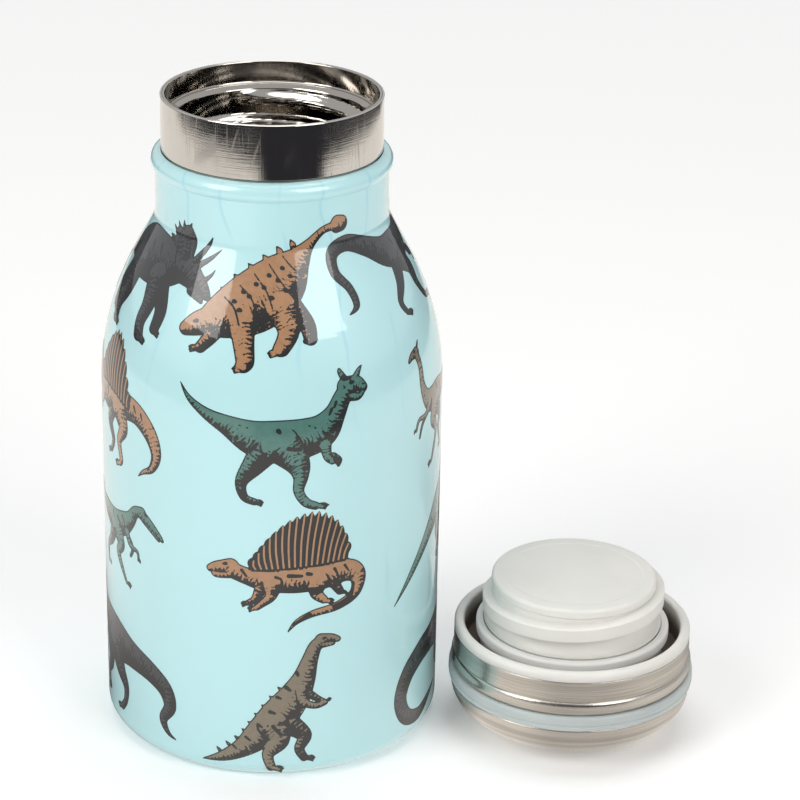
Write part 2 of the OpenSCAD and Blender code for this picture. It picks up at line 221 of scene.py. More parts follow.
def new_tree(kind, name, inputs, outputs):
    """A node group with named sockets. Inputs are (name, socket type, default); outputs (name, type)."""
    tree = bpy.data.node_groups.new(name, kind)
    for label, socket, default in inputs:
        made = tree.interface.new_socket(label, in_out="INPUT", socket_type=socket)
        if default is not None:
            made.default_value = default
    for label, socket in outputs:
        tree.interface.new_socket(label, in_out="OUTPUT", socket_type=socket)
    enter = tree.nodes.new("NodeGroupInput").outputs
    leave = tree.nodes.new("NodeGroupOutput").inputs
    return tree, enter, leave


# %% [markdown]
# The thread's rule works in turns. Going up the wall, the number of turns at a
# point is its height above the helix divided by the lead. Close to a whole
# number the point lies on the ridge. The ridge has a root width and a crest
# width, and it fades in and out at its two ends so that the screw can start.

# %% Geometry Nodes tree: turned piece
FLOAT, INTEGER = "NodeSocketFloat", "NodeSocketInt"
VECTOR, GEOMETRY, MATERIAL = "NodeSocketVector", "NodeSocketGeometry", "NodeSocketMaterial"


def finished(tree, made, smooth, material):
    """The last nodes of a tree: which edges are smooth, instances made real, and the material."""
    made = add(tree, "GeometryNodeSetShadeSmooth", {0: made, "Shade Smooth": smooth},
               domain="EDGE").outputs[0]
    made = add(tree, "GeometryNodeRealizeInstances", {0: made}).outputs[0]
    return add(tree, "GeometryNodeSetMaterial", {0: made, "Material": material}).outputs[0]


def turned_tree():
    tree, enter, leave = new_tree("GeometryNodeTree", "turned piece", [
        ("Outline", GEOMETRY, None),
        ("Steps", INTEGER, 192),
        ("Axis", VECTOR, (0, 0, 0)),
        ("Ridge Rise", FLOAT, 0.0),
        ("Ridge Lead", FLOAT, 0.005),
        ("Ridge Height At Zero", FLOAT, 0.0),
        ("Ridge From", FLOAT, 0.0),
        ("Ridge To", FLOAT, 0.0),
        ("Ridge Root", FLOAT, 0.003),
        ("Ridge Crest", FLOAT, 0.001),
        ("Sharp Angle", FLOAT, 0.6),
        ("Material", MATERIAL, None),
    ], [("Piece", GEOMETRY)])
    points = add(tree, "GeometryNodeAttributeDomainSize", {0: enter["Outline"]}).outputs["Point Count"]
    columns = plus(enter["Steps"], 1)
    grid = add(tree, "GeometryNodeMeshGrid",
               {"Size X": 1.0, "Size Y": 1.0, "Vertices X": columns, "Vertices Y": points})
    index = add(tree, "GeometryNodeInputIndex").outputs[0]
    row = maths(tree, "MODULO", index, points)
    column = maths(tree, "FLOOR", over(plus(index, 0.5), points))
    angle = times(over(column, enter["Steps"]), 2 * math.pi)
    place = add(tree, "GeometryNodeInputPosition").outputs[0]
    spot = add(tree, "GeometryNodeSampleIndex", {0: enter["Outline"], "Value": place, "Index": row},
               data_type="FLOAT_VECTOR").outputs[0]
    spot = add(tree, "ShaderNodeSeparateXYZ", {0: spot}).outputs

    def of_row(name):
        value = add(tree, "GeometryNodeInputNamedAttribute", {"Name": name}, data_type="FLOAT").outputs[0]
        return add(tree, "GeometryNodeSampleIndex", {0: enter["Outline"], "Value": value, "Index": row},
                   data_type="FLOAT").outputs[0]

    # How many leads the point lies above the helix, and how far from the nearest ridge
    on_helix = times(over(angle, 2 * math.pi), enter["Ridge Lead"])
    above = minus(spot["Z"], enter["Ridge Height At Zero"], on_helix)
    leads = over(above, enter["Ridge Lead"])
    whole = maths(tree, "ROUND", leads)
    off = maths(tree, "ABSOLUTE", times(minus(leads, whole), enter["Ridge Lead"]))
    flank = times(minus(enter["Ridge Root"], enter["Ridge Crest"]), 0.5)
    reach = minus(times(enter["Ridge Root"], 0.5), off)
    rise = add(tree, "ShaderNodeMapRange", {"Value": over(reach, flank)},
               interpolation_type="SMOOTHSTEP").outputs[0]
    turned = plus(angle, times(whole, 2 * math.pi))
    to_end = least(minus(turned, enter["Ridge From"]), minus(enter["Ridge To"], turned))
    fade = add(tree, "ShaderNodeMapRange", {"Value": to_end, "From Max": 0.6},
               interpolation_type="SMOOTHSTEP").outputs[0]
    rise = times(rise, fade, enter["Ridge Rise"])
    radius = plus(spot["X"], times(rise, of_row("wall")))

    bent = add(tree, "ShaderNodeCombineXYZ", {
        "X": times(radius, maths(tree, "COSINE", angle)),
        "Y": times(radius, maths(tree, "SINE", angle)),
        "Z": spot["Z"]}).outputs[0]
    bent = add(tree, "ShaderNodeVectorMath", {0: bent, 1: enter["Axis"]}, operation="ADD").outputs[0]
    piece = add(tree, "GeometryNodeSetPosition", {0: grid.outputs[0], "Position": bent}).outputs[0]
    piece = add(tree, "GeometryNodeStoreNamedAttribute", {0: piece, "Name": "run", "Value": of_row("run")},
                data_type="FLOAT", domain="POINT").outputs[0]
    piece = add(tree, "GeometryNodeMergeByDistance", {0: piece, "Distance": 2e-7}).outputs[0]
    crease = add(tree, "GeometryNodeInputMeshEdgeAngle").outputs[0]
    smooth = add(tree, "FunctionNodeCompare", {"A": crease, "B": enter["Sharp Angle"]},
                 data_type="FLOAT", operation="LESS_THAN").outputs[0]
    tree.links.new(finished(tree, piece, smooth, enter["Material"]), leave["Piece"])
    return tree


TURNED = turned_tree()
print("tree", TURNED.name, "with", len(TURNED.nodes), "nodes")

# %% [markdown]
# An outline is a list of corners in (radius, height). Real sheet and mouldings
# have no razor edges, so any corner may carry a rounding radius, and the helper
# replaces it with a short arc. Long curves are lists made by a formula. The
# outline always ends up running anticlockwise, which is what makes the faces
# point outwards.

# %% Helpers for outlines
def arc(centre_r, centre_z, radius, start, end, steps=12, radius_z=None):
    """Points on an arc, with its angles in degrees from the outward direction."""
    rz = radius if radius_z is None else radius_z
    turn = [math.radians(start + (end - start) * i / steps) for i in range(steps + 1)]
    return [(centre_r + radius * math.cos(t), centre_z + rz * math.sin(t)) for t in turn]


def rounded(corners):
    """Replaces each corner (r, z, rounding) with an arc; a corner without a rounding stays as it is."""
    made = []
    for i, corner in enumerate(corners):
        if len(corner) == 2 or corner[2] <= 0:
            made.append(corner[:2])
            continue
        here = Vector(corner[:2])
        back = Vector(corners[i - 1][:2]) - here
        ahead = Vector(corners[(i + 1) % len(corners)][:2]) - here
        between = back.angle(ahead)
        limit = 0.48 * min(back.length, ahead.length) * math.tan(between / 2)
        radius = min(corner[2], limit)
        centre = here + (back.normalized() + ahead.normalized()).normalized() * radius / math.sin(between / 2)
        first = here + back.normalized() * radius / math.tan(between / 2) - centre
        last = here + ahead.normalized() * radius / math.tan(between / 2) - centre
        steps = max(3, round(math.degrees(math.pi - between) / 14))
        swing = first.angle_signed(last)
        for k in range(steps + 1):
            t = -swing * k / steps
            turned = Vector((first.x * math.cos(t) - first.y * math.sin(t),
                             first.x * math.sin(t) + first.y * math.cos(t)))
            made.append(tuple(centre + turned))
    return made


def ladder(radius, low, high, step):
    """Closely spaced points up a wall, where a thread will need them."""
    count = max(1, math.ceil(abs(high - low) / step))
    return [(radius, low + (high - low) * i / count) for i in range(count + 1)]


def turned_piece(name, points, material, axis=(0, 0, 0), steps=256, ridge=None, sharp=40):
    """Spins an outline, given in metres, into a finished piece. An outline off the axis is closed."""
    area = sum(a[0] * b[1] - b[0] * a[1] for a, b in zip(points, points[1:] + points[:1]))
    if area < 0:
        points = points[::-1]
    on_axis = min(p[0] for p in points) < 1e-7
    if on_axis:
        start = next(i for i, p in enumerate(points) if p[0] < 1e-7 and points[i - 1][0] < 1e-7)
        points = points[start:] + points[:start]
    else:
        points = points + points[:1]
    outline = bpy.data.meshes.new(name + "_outline")
    outline.from_pydata([(r, 0, z) for r, z in points], [(i, i + 1) for i in range(len(points) - 1)], [])
    store(outline, "run", np.cumsum([0] + [math.dist(a, b) for a, b in zip(points, points[1:])]))
    ridge = ridge or {"wall_r": -1, "low": 0, "high": 0}
    store(outline, "wall", [abs(r - ridge["wall_r"]) < 1e-6 and ridge["low"] <= z <= ridge["high"]
                            for r, z in points])
    return grow(name, outline, TURNED, {
        "Steps": steps, "Axis": axis, "Material": material, "Sharp Angle": math.radians(sharp), **ridge})


def store(mesh, name, values, kind="FLOAT"):
    """Stores one number for every point of a mesh."""
    listed = np.array(values, np.float32 if kind == "FLOAT" else np.int32)
    mesh.attributes.new(name, kind, "POINT").data.foreach_set("value", listed)


def grow(name, start, tree, values):
    """Runs a Geometry Nodes tree on a starting mesh and keeps the result as a plain mesh object."""
    blank = bpy.data.objects.new(name + "_blank", start)
    scene.collection.objects.link(blank)
    maker = blank.modifiers.new(tree.name, "NODES")
    maker.node_group = tree
    for item in tree.interface.items_tree:
        if item.in_out == "INPUT" and item.name in values:
            maker[item.identifier] = values[item.name]
    seen = blank.evaluated_get(bpy.context.evaluated_depsgraph_get())
    mesh = bpy.data.meshes.new_from_object(seen)
    mesh.name = name
    # A grid made by nodes brings an empty material slot; only the real finish is kept
    made_of = next(m for m in mesh.materials if m)
    mesh.materials.clear()
    mesh.materials.append(made_of)
    mesh.polygons.foreach_set("material_index", np.zeros(len(mesh.polygons), np.int32))
    piece = bpy.data.objects.new(name, mesh)
    scene.collection.objects.link(piece)
    bpy.data.objects.remove(blank)
    mesh.calc_loop_triangles()
    print(f"{name}: {len(mesh.loop_triangles)} triangles of {made_of.name}")
    return piece

# %% [markdown]
# ## Effects that several finishes share
# Three small shader groups give every finish its detail. *Handling* is the
# cloudy change in gloss that fingers and cloths leave. *Fine scratches* are
# hairlines in all directions that only show in a highlight. *Lathe grain* is the
# circular brushing that a spinning part gets; it follows the outline's own length,
# stored as the attribute "run", so it goes round a dome as well as up a wall.
# Each group puts out plain values, and the shader itself stays in the material.

# %% Shader groups
COLOUR = "NodeSocketColor"


def object_place(tree):
    return add(tree, "ShaderNodeTexCoord").outputs["Object"]


def noise(tree, place, scale, detail=3.0, rough=0.5):
    return add(tree, "ShaderNodeTexNoise",
               {"Vector": place, "Scale": scale, "Detail": detail, "Roughness": rough}).outputs["Fac"]


def spread(tree, value, low, high, to_low=0.0, to_high=1.0):
    """Takes a value from low..high smoothly to 0..1, or to the two numbers given."""
    return add(tree, "ShaderNodeMapRange",
               {"Value": value, "From Min": low, "From Max": high, "To Min": to_low, "To Max": to_high},
               interpolation_type="SMOOTHSTEP").outputs[0]


def handling_group():
    tree, enter, leave = new_tree("ShaderNodeTree", "handling", [
        ("Size", FLOAT, 0.02), ("Low", FLOAT, 0.1), ("High", FLOAT, 0.3)], [("Roughness", FLOAT)])
    scale = over(1.0, enter["Size"])
    cloud = spread(tree, noise(tree, object_place(tree), scale, 4.0, 0.6), 0.3, 0.7)
    gap = minus(enter["High"], enter["Low"])
    rough = plus(enter["Low"], times(cloud, gap))
    tree.links.new(rough, leave["Roughness"])
    return tree


def scratch_group():
    tree, enter, leave = new_tree("ShaderNodeTree", "fine scratches", [
        ("Spacing", FLOAT, 0.004), ("Width", FLOAT, 0.02)], [("Mark", FLOAT)])
    scale = over(1.0, enter["Spacing"])
    place = object_place(tree)
    marks = 0.0
    stretch = (1.0, 0.06, 0.06)
    for turn in ((0.4, 0.9, 0.3), (1.7, 0.2, 1.1), (0.8, 2.2, 2.0)):
        turned = add(tree, "ShaderNodeMapping", {"Vector": place, "Rotation": turn, "Scale": stretch})
        warp = noise(tree, place, 60.0, 1.0)
        cells = add(tree, "ShaderNodeTexVoronoi", {"Vector": turned.outputs[0], "Scale": scale},
                    feature="DISTANCE_TO_EDGE").outputs["Distance"]
        line = spread(tree, cells, 0.0, enter["Width"], 1.0, 0.0)
        line = times(line, spread(tree, warp, 0.45, 0.65))
        marks = most(marks, line)
    tree.links.new(marks, leave["Mark"])
    return tree


def grain_group():
    tree, enter, leave = new_tree("ShaderNodeTree", "lathe grain", [
        ("Line", FLOAT, 0.00012)], [("Height", FLOAT), ("Shade", FLOAT)])
    run = add(tree, "ShaderNodeAttribute", attribute_name="run").outputs["Fac"]
    place = add(tree, "ShaderNodeSeparateXYZ", {0: object_place(tree)}).outputs
    across = over(run, enter["Line"])
    slow = 60.0  # the grain hardly changes on its way round the piece
    lines = add(tree, "ShaderNodeCombineXYZ", {
        "X": times(place["X"], slow),
        "Y": times(place["Y"], slow),
        "Z": across}).outputs[0]
    fine = noise(tree, lines, 1.0, 3.0, 0.7)
    broad = noise(tree, lines, 0.13, 2.0, 0.5)
    tree.links.new(fine, leave["Height"])
    tree.links.new(plus(times(fine, 0.5), times(broad, 0.5)), leave["Shade"])
    return tree


HANDLING, SCRATCHES, GRAIN = handling_group(), scratch_group(), grain_group()
print("shader groups:", [g.name for g in (HANDLING, SCRATCHES, GRAIN)])

# %% [markdown]
# A finish starts from one Principled shader. Numbers that are the same all over
# are set on the shader's own sockets; only what changes over the surface is
# wired in. These helpers wire the usual things: a colour that varies between two
# shades, a roughness that varies, and a bump.

# %% Helpers for finishes
def finish(name, **plain):
    """A material with one Principled shader and its plain values set."""
    material = bpy.data.materials.new(name)
    material.use_nodes = True
    tree = material.node_tree
    shader = tree.nodes["Principled BSDF"]
    for key, value in plain.items():
        shader.inputs[key.replace("_", " ")].default_value = value
    return material, tree, shader


def place_group(tree, made, values):
    node = add(tree, "ShaderNodeGroup", node_tree=made)
    for key, value in values.items():
        node.inputs[key].default_value = value
    return node.outputs


def worn_gloss(tree, size, rough):
    """A roughness that varies between two values in clouds of one size."""
    return place_group(tree, HANDLING, {"Size": size, "Low": rough[0], "High": rough[1]})[0]


def mix(tree, factor, first, second):
    node = add(tree, "ShaderNodeMix", data_type="RGBA")
    for socket, value in ((node.inputs[0], factor), (node.inputs[6], first), (node.inputs[7], second)):
        if isinstance(value, bpy.types.NodeSocket):
            tree.links.new(value, socket)
        else:
            socket.default_value = value if isinstance(value, float) else (*value, 1.0)
    return node.outputs[2]


def wire(tree, shader, colour=None, rough=None, height=None, depth=0.0001, strength=0.3, coat=False):
    if colour is not None:
        tree.links.new(colour, shader.inputs["Base Color"])
    if rough is not None:
        tree.links.new(rough, shader.inputs["Roughness"])
    if height is not None:
        bump = add(tree, "ShaderNodeBump",
                   {"Height": height, "Strength": strength, "Distance": depth}).outputs[0]
        tree.links.new(bump, shader.inputs["Normal"])
        if coat:
            tree.links.new(bump, shader.inputs["Coat Normal"])


# %% [markdown]
# ## The finishes
# The paint is a pale aqua enamel with a clear gloss over it: a soft coloured
# base and a coat that is much smoother. Real enamel is never quite flat, so a
# very shallow bump gives it the slight ripple called orange peel. The printed
# film that carries the pattern leaves faint blue lines where it was stretched
# over the shoulder.

# %% Aqua enamel
def enamel(name):
    material, tree, shader = finish(name, Coat_Weight=1.0, Coat_Roughness=0.03, IOR=1.5)
    place = object_place(tree)
    at = add(tree, "ShaderNodeSeparateXYZ", {0: place}).outputs
    cloud = noise(tree, place, 35.0, 3.0)
    colour = mix(tree, cloud, (0.485, 0.785, 0.82), (0.53, 0.82, 0.855))
    # Film lines: thin, wavering, evenly spread round the shoulder and broken up
    film_lines = 15
    wander = noise(tree, place, 28.0, 2.0)
    angle = over(maths(tree, "ARCTAN2", at["Y"], at["X"]), 2 * math.pi)
    turns = plus(times(angle, film_lines), times(wander, 2.2))
    off = maths(tree, "ABSOLUTE", minus(maths(tree, "FRACT", turns), 0.5))
    line = spread(tree, off, 0.0, 0.06, 1.0, 0.0)
    high = spread(tree, at["Z"], body_h - 8 * MM, fillet_z - 10 * MM)
    broken = spread(tree, noise(tree, place, 45.0, 1.0), 0.42, 0.6)
    line = times(line, high, times(broken, 0.5))
    colour = mix(tree, line, colour, (0.30, 0.66, 0.80))
    wire(tree, shader, colour, worn_gloss(tree, 0.03, (0.28, 0.4)),
         noise(tree, place, 420.0, 2.0), depth=0.00004, strength=0.25, coat=True)
    return material


ENAMEL = enamel("aqua_enamel")
print("paint:", ENAMEL.name)

# %% [markdown]
# Three steels share one recipe and differ in how they were worked. The collar
# is polished like a mirror, with hairline scratches and smudges. The inside of
# the flask is polished less, and its steel is given a darker colour as painted
# shade, for the shadow down inside the neck. The cap's steel is brushed on a
# lathe, so its gloss stretches into bands across the grain.

# %% Steels
def steel(name, light, dark, rough, grain_line=None, grain_depth=0.000006, scratches=0.0):
    material, tree, shader = finish(name, Metallic=1.0)
    gloss = worn_gloss(tree, 0.012, rough)
    if grain_line:
        grain = place_group(tree, GRAIN, {"Line": grain_line})
        colour = mix(tree, spread(tree, grain["Shade"], 0.35, 0.65), dark, light)
        wire(tree, shader, colour, gloss, grain["Height"], depth=grain_depth, strength=0.6)
        return material
    marks = place_group(tree, SCRATCHES, {"Spacing": 0.005, "Width": 0.012})["Mark"]
    grain = place_group(tree, GRAIN, {"Line": 0.0004})
    cloud = noise(tree, object_place(tree), 90.0, 3.0)
    colour = mix(tree, cloud, dark, light)
    gloss = plus(gloss, times(marks, scratches))
    height = plus(times(marks, 0.2), grain["Height"])
    wire(tree, shader, colour, gloss, height, depth=grain_depth, strength=0.5)
    return material


POLISHED = steel("polished_steel", (0.70, 0.67, 0.63), (0.63, 0.60, 0.56), (0.045, 0.09), scratches=0.12)
# The flask steel's darker colour is painted shade for the inside of the neck
FLASK = steel("flask_steel", (0.55, 0.52, 0.48), (0.46, 0.43, 0.39), (0.06, 0.11),
              grain_depth=0.0000015, scratches=0.06)
BRUSHED = steel("brushed_steel", (0.71, 0.66, 0.60), (0.50, 0.465, 0.42), (0.20, 0.28),
                grain_line=0.00013, grain_depth=0.00003)
print("steels:", [m.name for m in (POLISHED, FLASK, BRUSHED)])


# %% [markdown]
# The white parts are injection-moulded polypropylene: a satin surface with a
# fine moulded texture and a little light passing under the skin. The liner is
# the same plastic, with painted shade deep in its channel: there the colour
# sinks to a dark brown that stands in for the shadow in the narrow gap. The
# gasket and the grip band are silicone, duller and softer, and the band is
# tinted.

# %% Plastics and silicones
def moulded(name, light, dark, rough, glow=0.05, painted_shade=None):
    """Satin plastic or silicone. Given a pair of heights, the colour sinks from the upper one down to dark
    brown at the lower one: painted shade.
    """
    material, tree, shader = finish(name, Subsurface_Weight=glow, Subsurface_Scale=0.002, IOR=1.49)
    shader.inputs["Subsurface Radius"].default_value = (0.9, 0.8, 0.7)
    place = object_place(tree)
    colour = mix(tree, spread(tree, noise(tree, place, 55.0, 4.0, 0.6), 0.3, 0.7), dark, light)
    if painted_shade:
        height = add(tree, "ShaderNodeSeparateXYZ", {0: place}).outputs["Z"]
        # Painted shade: below the lip the colour sinks to dark brown, for the shadow deep in the channel
        colour = mix(tree, spread(tree, height, painted_shade[0], painted_shade[1]), (0.13, 0.10, 0.08), colour)
    wire(tree, shader, colour, worn_gloss(tree, 0.009, rough),
         noise(tree, place, 2600.0, 2.0), depth=0.00008, strength=0.12)
    return material


WHITE = ((0.79, 0.775, 0.735), (0.75, 0.735, 0.695), (0.34, 0.44))
PLASTIC = moulded("white_plastic", *WHITE)
# The liner's channel, from just under the lip downwards, gets painted shade
LINER = moulded("liner_plastic", *WHITE, painted_shade=(lip_z - 4.5 * MM, lip_z - 0.5 * MM))
GASKET = moulded("white_silicone", (0.84, 0.83, 0.81), (0.80, 0.79, 0.77), (0.42, 0.55), glow=0.2)
GRIP = moulded("clear_silicone", (0.53, 0.575, 0.57), (0.46, 0.505, 0.505), (0.36, 0.48), glow=0.35)
print("moulded finishes:", [m.name for m in (PLASTIC, LINER, GASKET, GRIP)])


# %% [markdown]
# The last finishes are for what is sealed inside, which only shows if the
# bottle is cut or taken apart: crinkled copper foil round the flask, closed-cell
# foam in the stopper, the grey glass solder that seals the vacuum, and the dull
# pressed pill that keeps the vacuum clean.

# %% Hidden finishes
def crinkled_foil(name):
    material, tree, shader = finish(name, Metallic=1.0)
    place = object_place(tree)
    folds = add(tree, "ShaderNodeTexVoronoi", {"Vector": place, "Scale": 260.0},
                feature="DISTANCE_TO_EDGE").outputs[0]
    colour = mix(tree, noise(tree, place, 120.0), (0.72, 0.38, 0.22), (0.86, 0.50, 0.31))
    wire(tree, shader, colour, worn_gloss(tree, 0.006, (0.2, 0.38)),
         folds, depth=0.0004, strength=0.5)
    return material


def grained(name, light, dark, rough, scale, depth, metallic=0.0):
    material, tree, shader = finish(name, Metallic=metallic)
    place = object_place(tree)
    beads = add(tree, "ShaderNodeTexVoronoi", {"Vector": place, "Scale": scale}, feature="F1").outputs[0]
    colour = mix(tree, spread(tree, beads, 0.1, 0.7), light, dark)
    wire(tree, shader, colour, worn_gloss(tree, 0.004, rough),
         minus(1.0, beads), depth=depth, strength=0.5)
    return material


FOIL = crinkled_foil("copper_foil")
FOAM = grained("white_foam", (0.86, 0.86, 0.84), (0.74, 0.74, 0.72), (0.6, 0.75), 420.0, 0.0004)
SOLDER = grained("solder_glass", (0.11, 0.12, 0.13), (0.05, 0.055, 0.06), (0.12, 0.3), 900.0, 0.0001)
PILL = grained("getter_metal", (0.30, 0.30, 0.31), (0.18, 0.18, 0.19), (0.45, 0.6), 2600.0, 0.0001,
               metallic=0.8)
print("hidden finishes:", [m.name for m in (FOIL, FOAM, SOLDER, PILL)])

# %% [markdown]
# ## The bottle
# The outer shell is one spun steel sheet: a flat foot, a rounded bottom edge, a
# straight side, a long shoulder, a hollow curve into the groove, and a fat bead
# that the collar stands in. Its outline is the outside run followed by the same
# run set in by the sheet's thickness, so the piece is a real closed wall.

# %% Painted shell
def shell_side(inset):
    lean = math.degrees(shoulder_lean)
    return (arc(body_r - shoulder_r, body_h, shoulder_r - inset, 0, lean, 30)
            + arc(groove_r + groove_fillet_r, fillet_z, groove_fillet_r + inset, 180 + lean, 180, 12))


def bead(inset):
    hem, dip = math.degrees(hem_angle), math.degrees(groove_angle)
    return arc(bead_centre_r, bead_z, bead_round_r - inset, -dip, hem, 24)


foot_ring_w = 2.6 * MM
foot_in_r = body_r - base_corner_r - foot_ring_w
shell = turned_piece("painted_shell", (
    [(foot_in_r, 0)]
    + arc(body_r - base_corner_r, base_corner_r, base_corner_r, -90, 0, 14)
    + shell_side(0) + bead(0)
    + bead(outer_wall)[::-1] + shell_side(outer_wall)[::-1]
    + arc(body_r - base_corner_r, base_corner_r, base_corner_r - outer_wall, -90, 0, 8)[::-1]
    + [(foot_in_r, outer_wall)]), ENAMEL)
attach(shell, "bottle")
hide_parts("outer_shell")

# %% [markdown]
# The collar is a polished steel band with a tiny rounded edge at the rim. It is
# necked in by a hair where it drops into the bead, which draws a dark line round
# its foot. The inner flask reaches up inside it as a second sheet, and the two
# edges together make the bright double line at a real bottle's mouth.

# %% Polished collar
relief, relief_h = 0.15 * MM, 0.4 * MM
collar = turned_piece("polished_collar", rounded([
    (neck_r - collar_wall, foot_z), (neck_r - relief, foot_z),
    (neck_r - relief, collar_foot + relief_h / 2, 0.05 * MM),
    (neck_r, collar_foot + relief_h, 0.12 * MM), (neck_r, rim_z, 0.28 * MM),
    (neck_r - collar_wall, rim_z, 0.1 * MM)]), POLISHED)
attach(collar, "bottle")
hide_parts("neck_collar")

# %% [markdown]
# Inside the neck the flask has a smooth mouth, a ledge that the gasket seals on,
# and a rolled thread: the sheet is pressed inwards in a helix. The helix has to
# mesh with the stopper's, which lies upside down beside the bottle. Swinging the
# cap over turns its helix round too, so the neck's helix is worked out from the
# stopper's, the height of the swing axis and the direction to the cap.

# %% Inner flask with its rolled thread
thread_rise = 5.7 * MM  # from the cap's lip up to the middle of the stopper's thread
plug_thread_mid = lip_z + thread_rise
front = -math.pi / 2
plug_helix = plug_thread_mid - lead * front / (2 * math.pi)
swing_azimuth = math.atan2(cap_axis.y, cap_axis.x) - math.pi / 2
closed_helix = 2 * swing_z - plug_helix - lead * swing_azimuth / math.pi
neck_helix = closed_helix + lead / 2
mouth_r = neck_r - collar_wall - hair_gap - flask_wall
mouth_depth = 4.5 * MM
ledge_w = 1.5 * MM
ledge_slope_h = 0.9 * MM
vacuum_gap = 3.1 * MM
ledge_z = rim_z - mouth_depth
neck_bore_r = mouth_r - ledge_w
slope_foot = ledge_z - ledge_slope_h
thread_top = slope_foot - 1.5 * MM
flask_inset = outer_wall + vacuum_gap
flask_r = body_r - flask_inset
flask_corner_r = 6 * MM
flask_hole_r = flask_r - 8 * MM


def flask_side(inset, neck_at):
    lean = math.degrees(shoulder_lean)
    curve_r = groove_fillet_r + inset
    across = groove_r + groove_fillet_r - curve_r * math.cos(shoulder_lean) - neck_at
    meet_z = fillet_z - curve_r * math.sin(shoulder_lean) + across / math.tan(shoulder_lean)
    return (arc(flask_r - flask_corner_r, flask_foot + flask_corner_r,
                flask_corner_r - (inset - flask_inset), -90, 0, 10)
            + arc(body_r - shoulder_r, body_h, shoulder_r - inset, 0, lean, 16) + [(neck_at, meet_z)])


neck_turns = 2.75
roll_depth = 1.6 * MM
neck_out_r = neck_bore_r + flask_wall
inner_run = flask_side(flask_inset + flask_wall, neck_bore_r)
ladder_step = 0.14 * MM
neck_wall = ladder(neck_bore_r, inner_run[-1][1], slope_foot - 0.5 * MM, ladder_step)
mouth = rounded([
    (mouth_r + flask_wall, ledge_z - flask_wall), (mouth_r + flask_wall, rim_z, 0.1 * MM),
    (mouth_r, rim_z, 0.25 * MM), (mouth_r, ledge_z, 0.35 * MM),
    (neck_bore_r + ledge_w / 2, ledge_z, 0.3 * MM), (neck_bore_r, slope_foot, 0.6 * MM),
    (neck_bore_r, slope_foot - 1.4 * MM)])
flask = turned_piece("steel_flask", (
    [(flask_hole_r, flask_foot)] + flask_side(flask_inset, neck_out_r)
    + [(neck_out_r, slope_foot - flask_wall / 2)]
    + mouth[:-1] + neck_wall[::-1] + inner_run[:-1][::-1] + [(flask_hole_r, flask_foot + flask_wall)]),
    FLASK, ridge={
        "wall_r": neck_bore_r, "low": inner_run[-1][1] + 0.1 * MM, "high": slope_foot - 0.4 * MM,
        "Ridge Rise": -roll_depth, "Ridge Lead": lead, "Ridge Height At Zero": neck_helix,
        "Ridge From": 2 * math.pi * ((thread_top - neck_helix) / lead - neck_turns),
        "Ridge To": 2 * math.pi * (thread_top - neck_helix) / lead,
        "Ridge Root": 3.4 * MM, "Ridge Crest": 0.2 * MM})
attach(flask, "bottle")
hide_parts("inner_flask")

# %% [markdown]
# ## The cap
# The cap lies on its steel top. The top is a shallow cup pressed from sheet: a
# small flat in the middle, then an oval curve up to a short straight side.

# %% Steel top and skirt
sheet = 0.5 * MM
top_h = top_high.z
top_r = (top_high.x - top_low.x) / 2
flat_r = 8 * MM
axis = (cap_axis.x, cap_axis.y, 0)


def top_outline(inset):
    return [(0, inset)] + arc(flat_r, top_h - 1 * MM, top_r - inset - flat_r, -90, 0, 30,
                              radius_z=top_h - 1 * MM - inset)


cap_top = turned_piece("cap_top_cup", (
    top_outline(0) + rounded([(top_r, top_h - 1 * MM), (top_r, top_h, 0.35 * MM),
                              (top_r - sheet, top_h, 0.12 * MM), (top_r - sheet, top_h - 1 * MM)])[1:-1]
    + top_outline(sheet)[::-1]), BRUSHED, axis, steps=224)
grip_top = skirt_low.z
bead_top = grip_top + 2.9 * MM
bead_mid = (grip_top + bead_top) / 2
bead_out = (skirt_high.x - skirt_low.x) / 2
cap_skirt = turned_piece("cap_skirt_band", (
    [(skirt_r - sheet, grip_top), (skirt_r - 0.25 * MM, grip_top)]
    + arc(skirt_r - 0.1 * MM, bead_mid, bead_out - skirt_r + 0.1 * MM, -78, 78, 20, radius_z=1.45 * MM)
    + rounded([(skirt_r - 0.05 * MM, bead_top), (skirt_r, bead_top + 0.2 * MM, 0.1 * MM),
               (skirt_r, skirt_high.z, 0.15 * MM), (skirt_r - sheet, skirt_high.z, 0.1 * MM),
               (skirt_r - sheet, grip_top)])[:-1]), BRUSHED, axis, steps=224)
for piece, node in ((cap_top, "cap_top"), (cap_skirt, "cap_skirt")):
    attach(piece, "cap")
    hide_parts(node)

# %% [markdown]
# A silicone band sits in the groove between the two steel parts and gives the
# fingers a grip. It has soft edges and a fine parting line round its middle
# where the two halves of its mould met.

# %% Silicone grip band
grip_r = (band_high.x - band_low.x) / 2
band_in_r = skirt_r - sheet
parting = band_low.z + 0.42 * (band_high.z - band_low.z)
parting_r = grip_r - 0.12 * MM
grip = turned_piece("grip_band_ring", rounded([
    (band_in_r, band_low.z), (grip_r - 0.15 * MM, band_low.z, 0.7 * MM),
    (grip_r, parting - 0.16 * MM), (parting_r, parting - 0.06 * MM), (parting_r, parting + 0.06 * MM),
    (grip_r, parting + 0.16 * MM), (grip_r - 0.1 * MM, band_high.z, 0.7 * MM),
    (band_in_r, band_high.z)]), GRIP, axis, steps=224)
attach(grip, "cap")
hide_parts("grip_band")

# %% [markdown]
# The liner is one white moulding. It fills the steel cup, runs up behind the
# band and the skirt, and rolls out over the skirt's edge as a rounded lip. A
# web near the top of the ring-shaped gap carries the stopper.

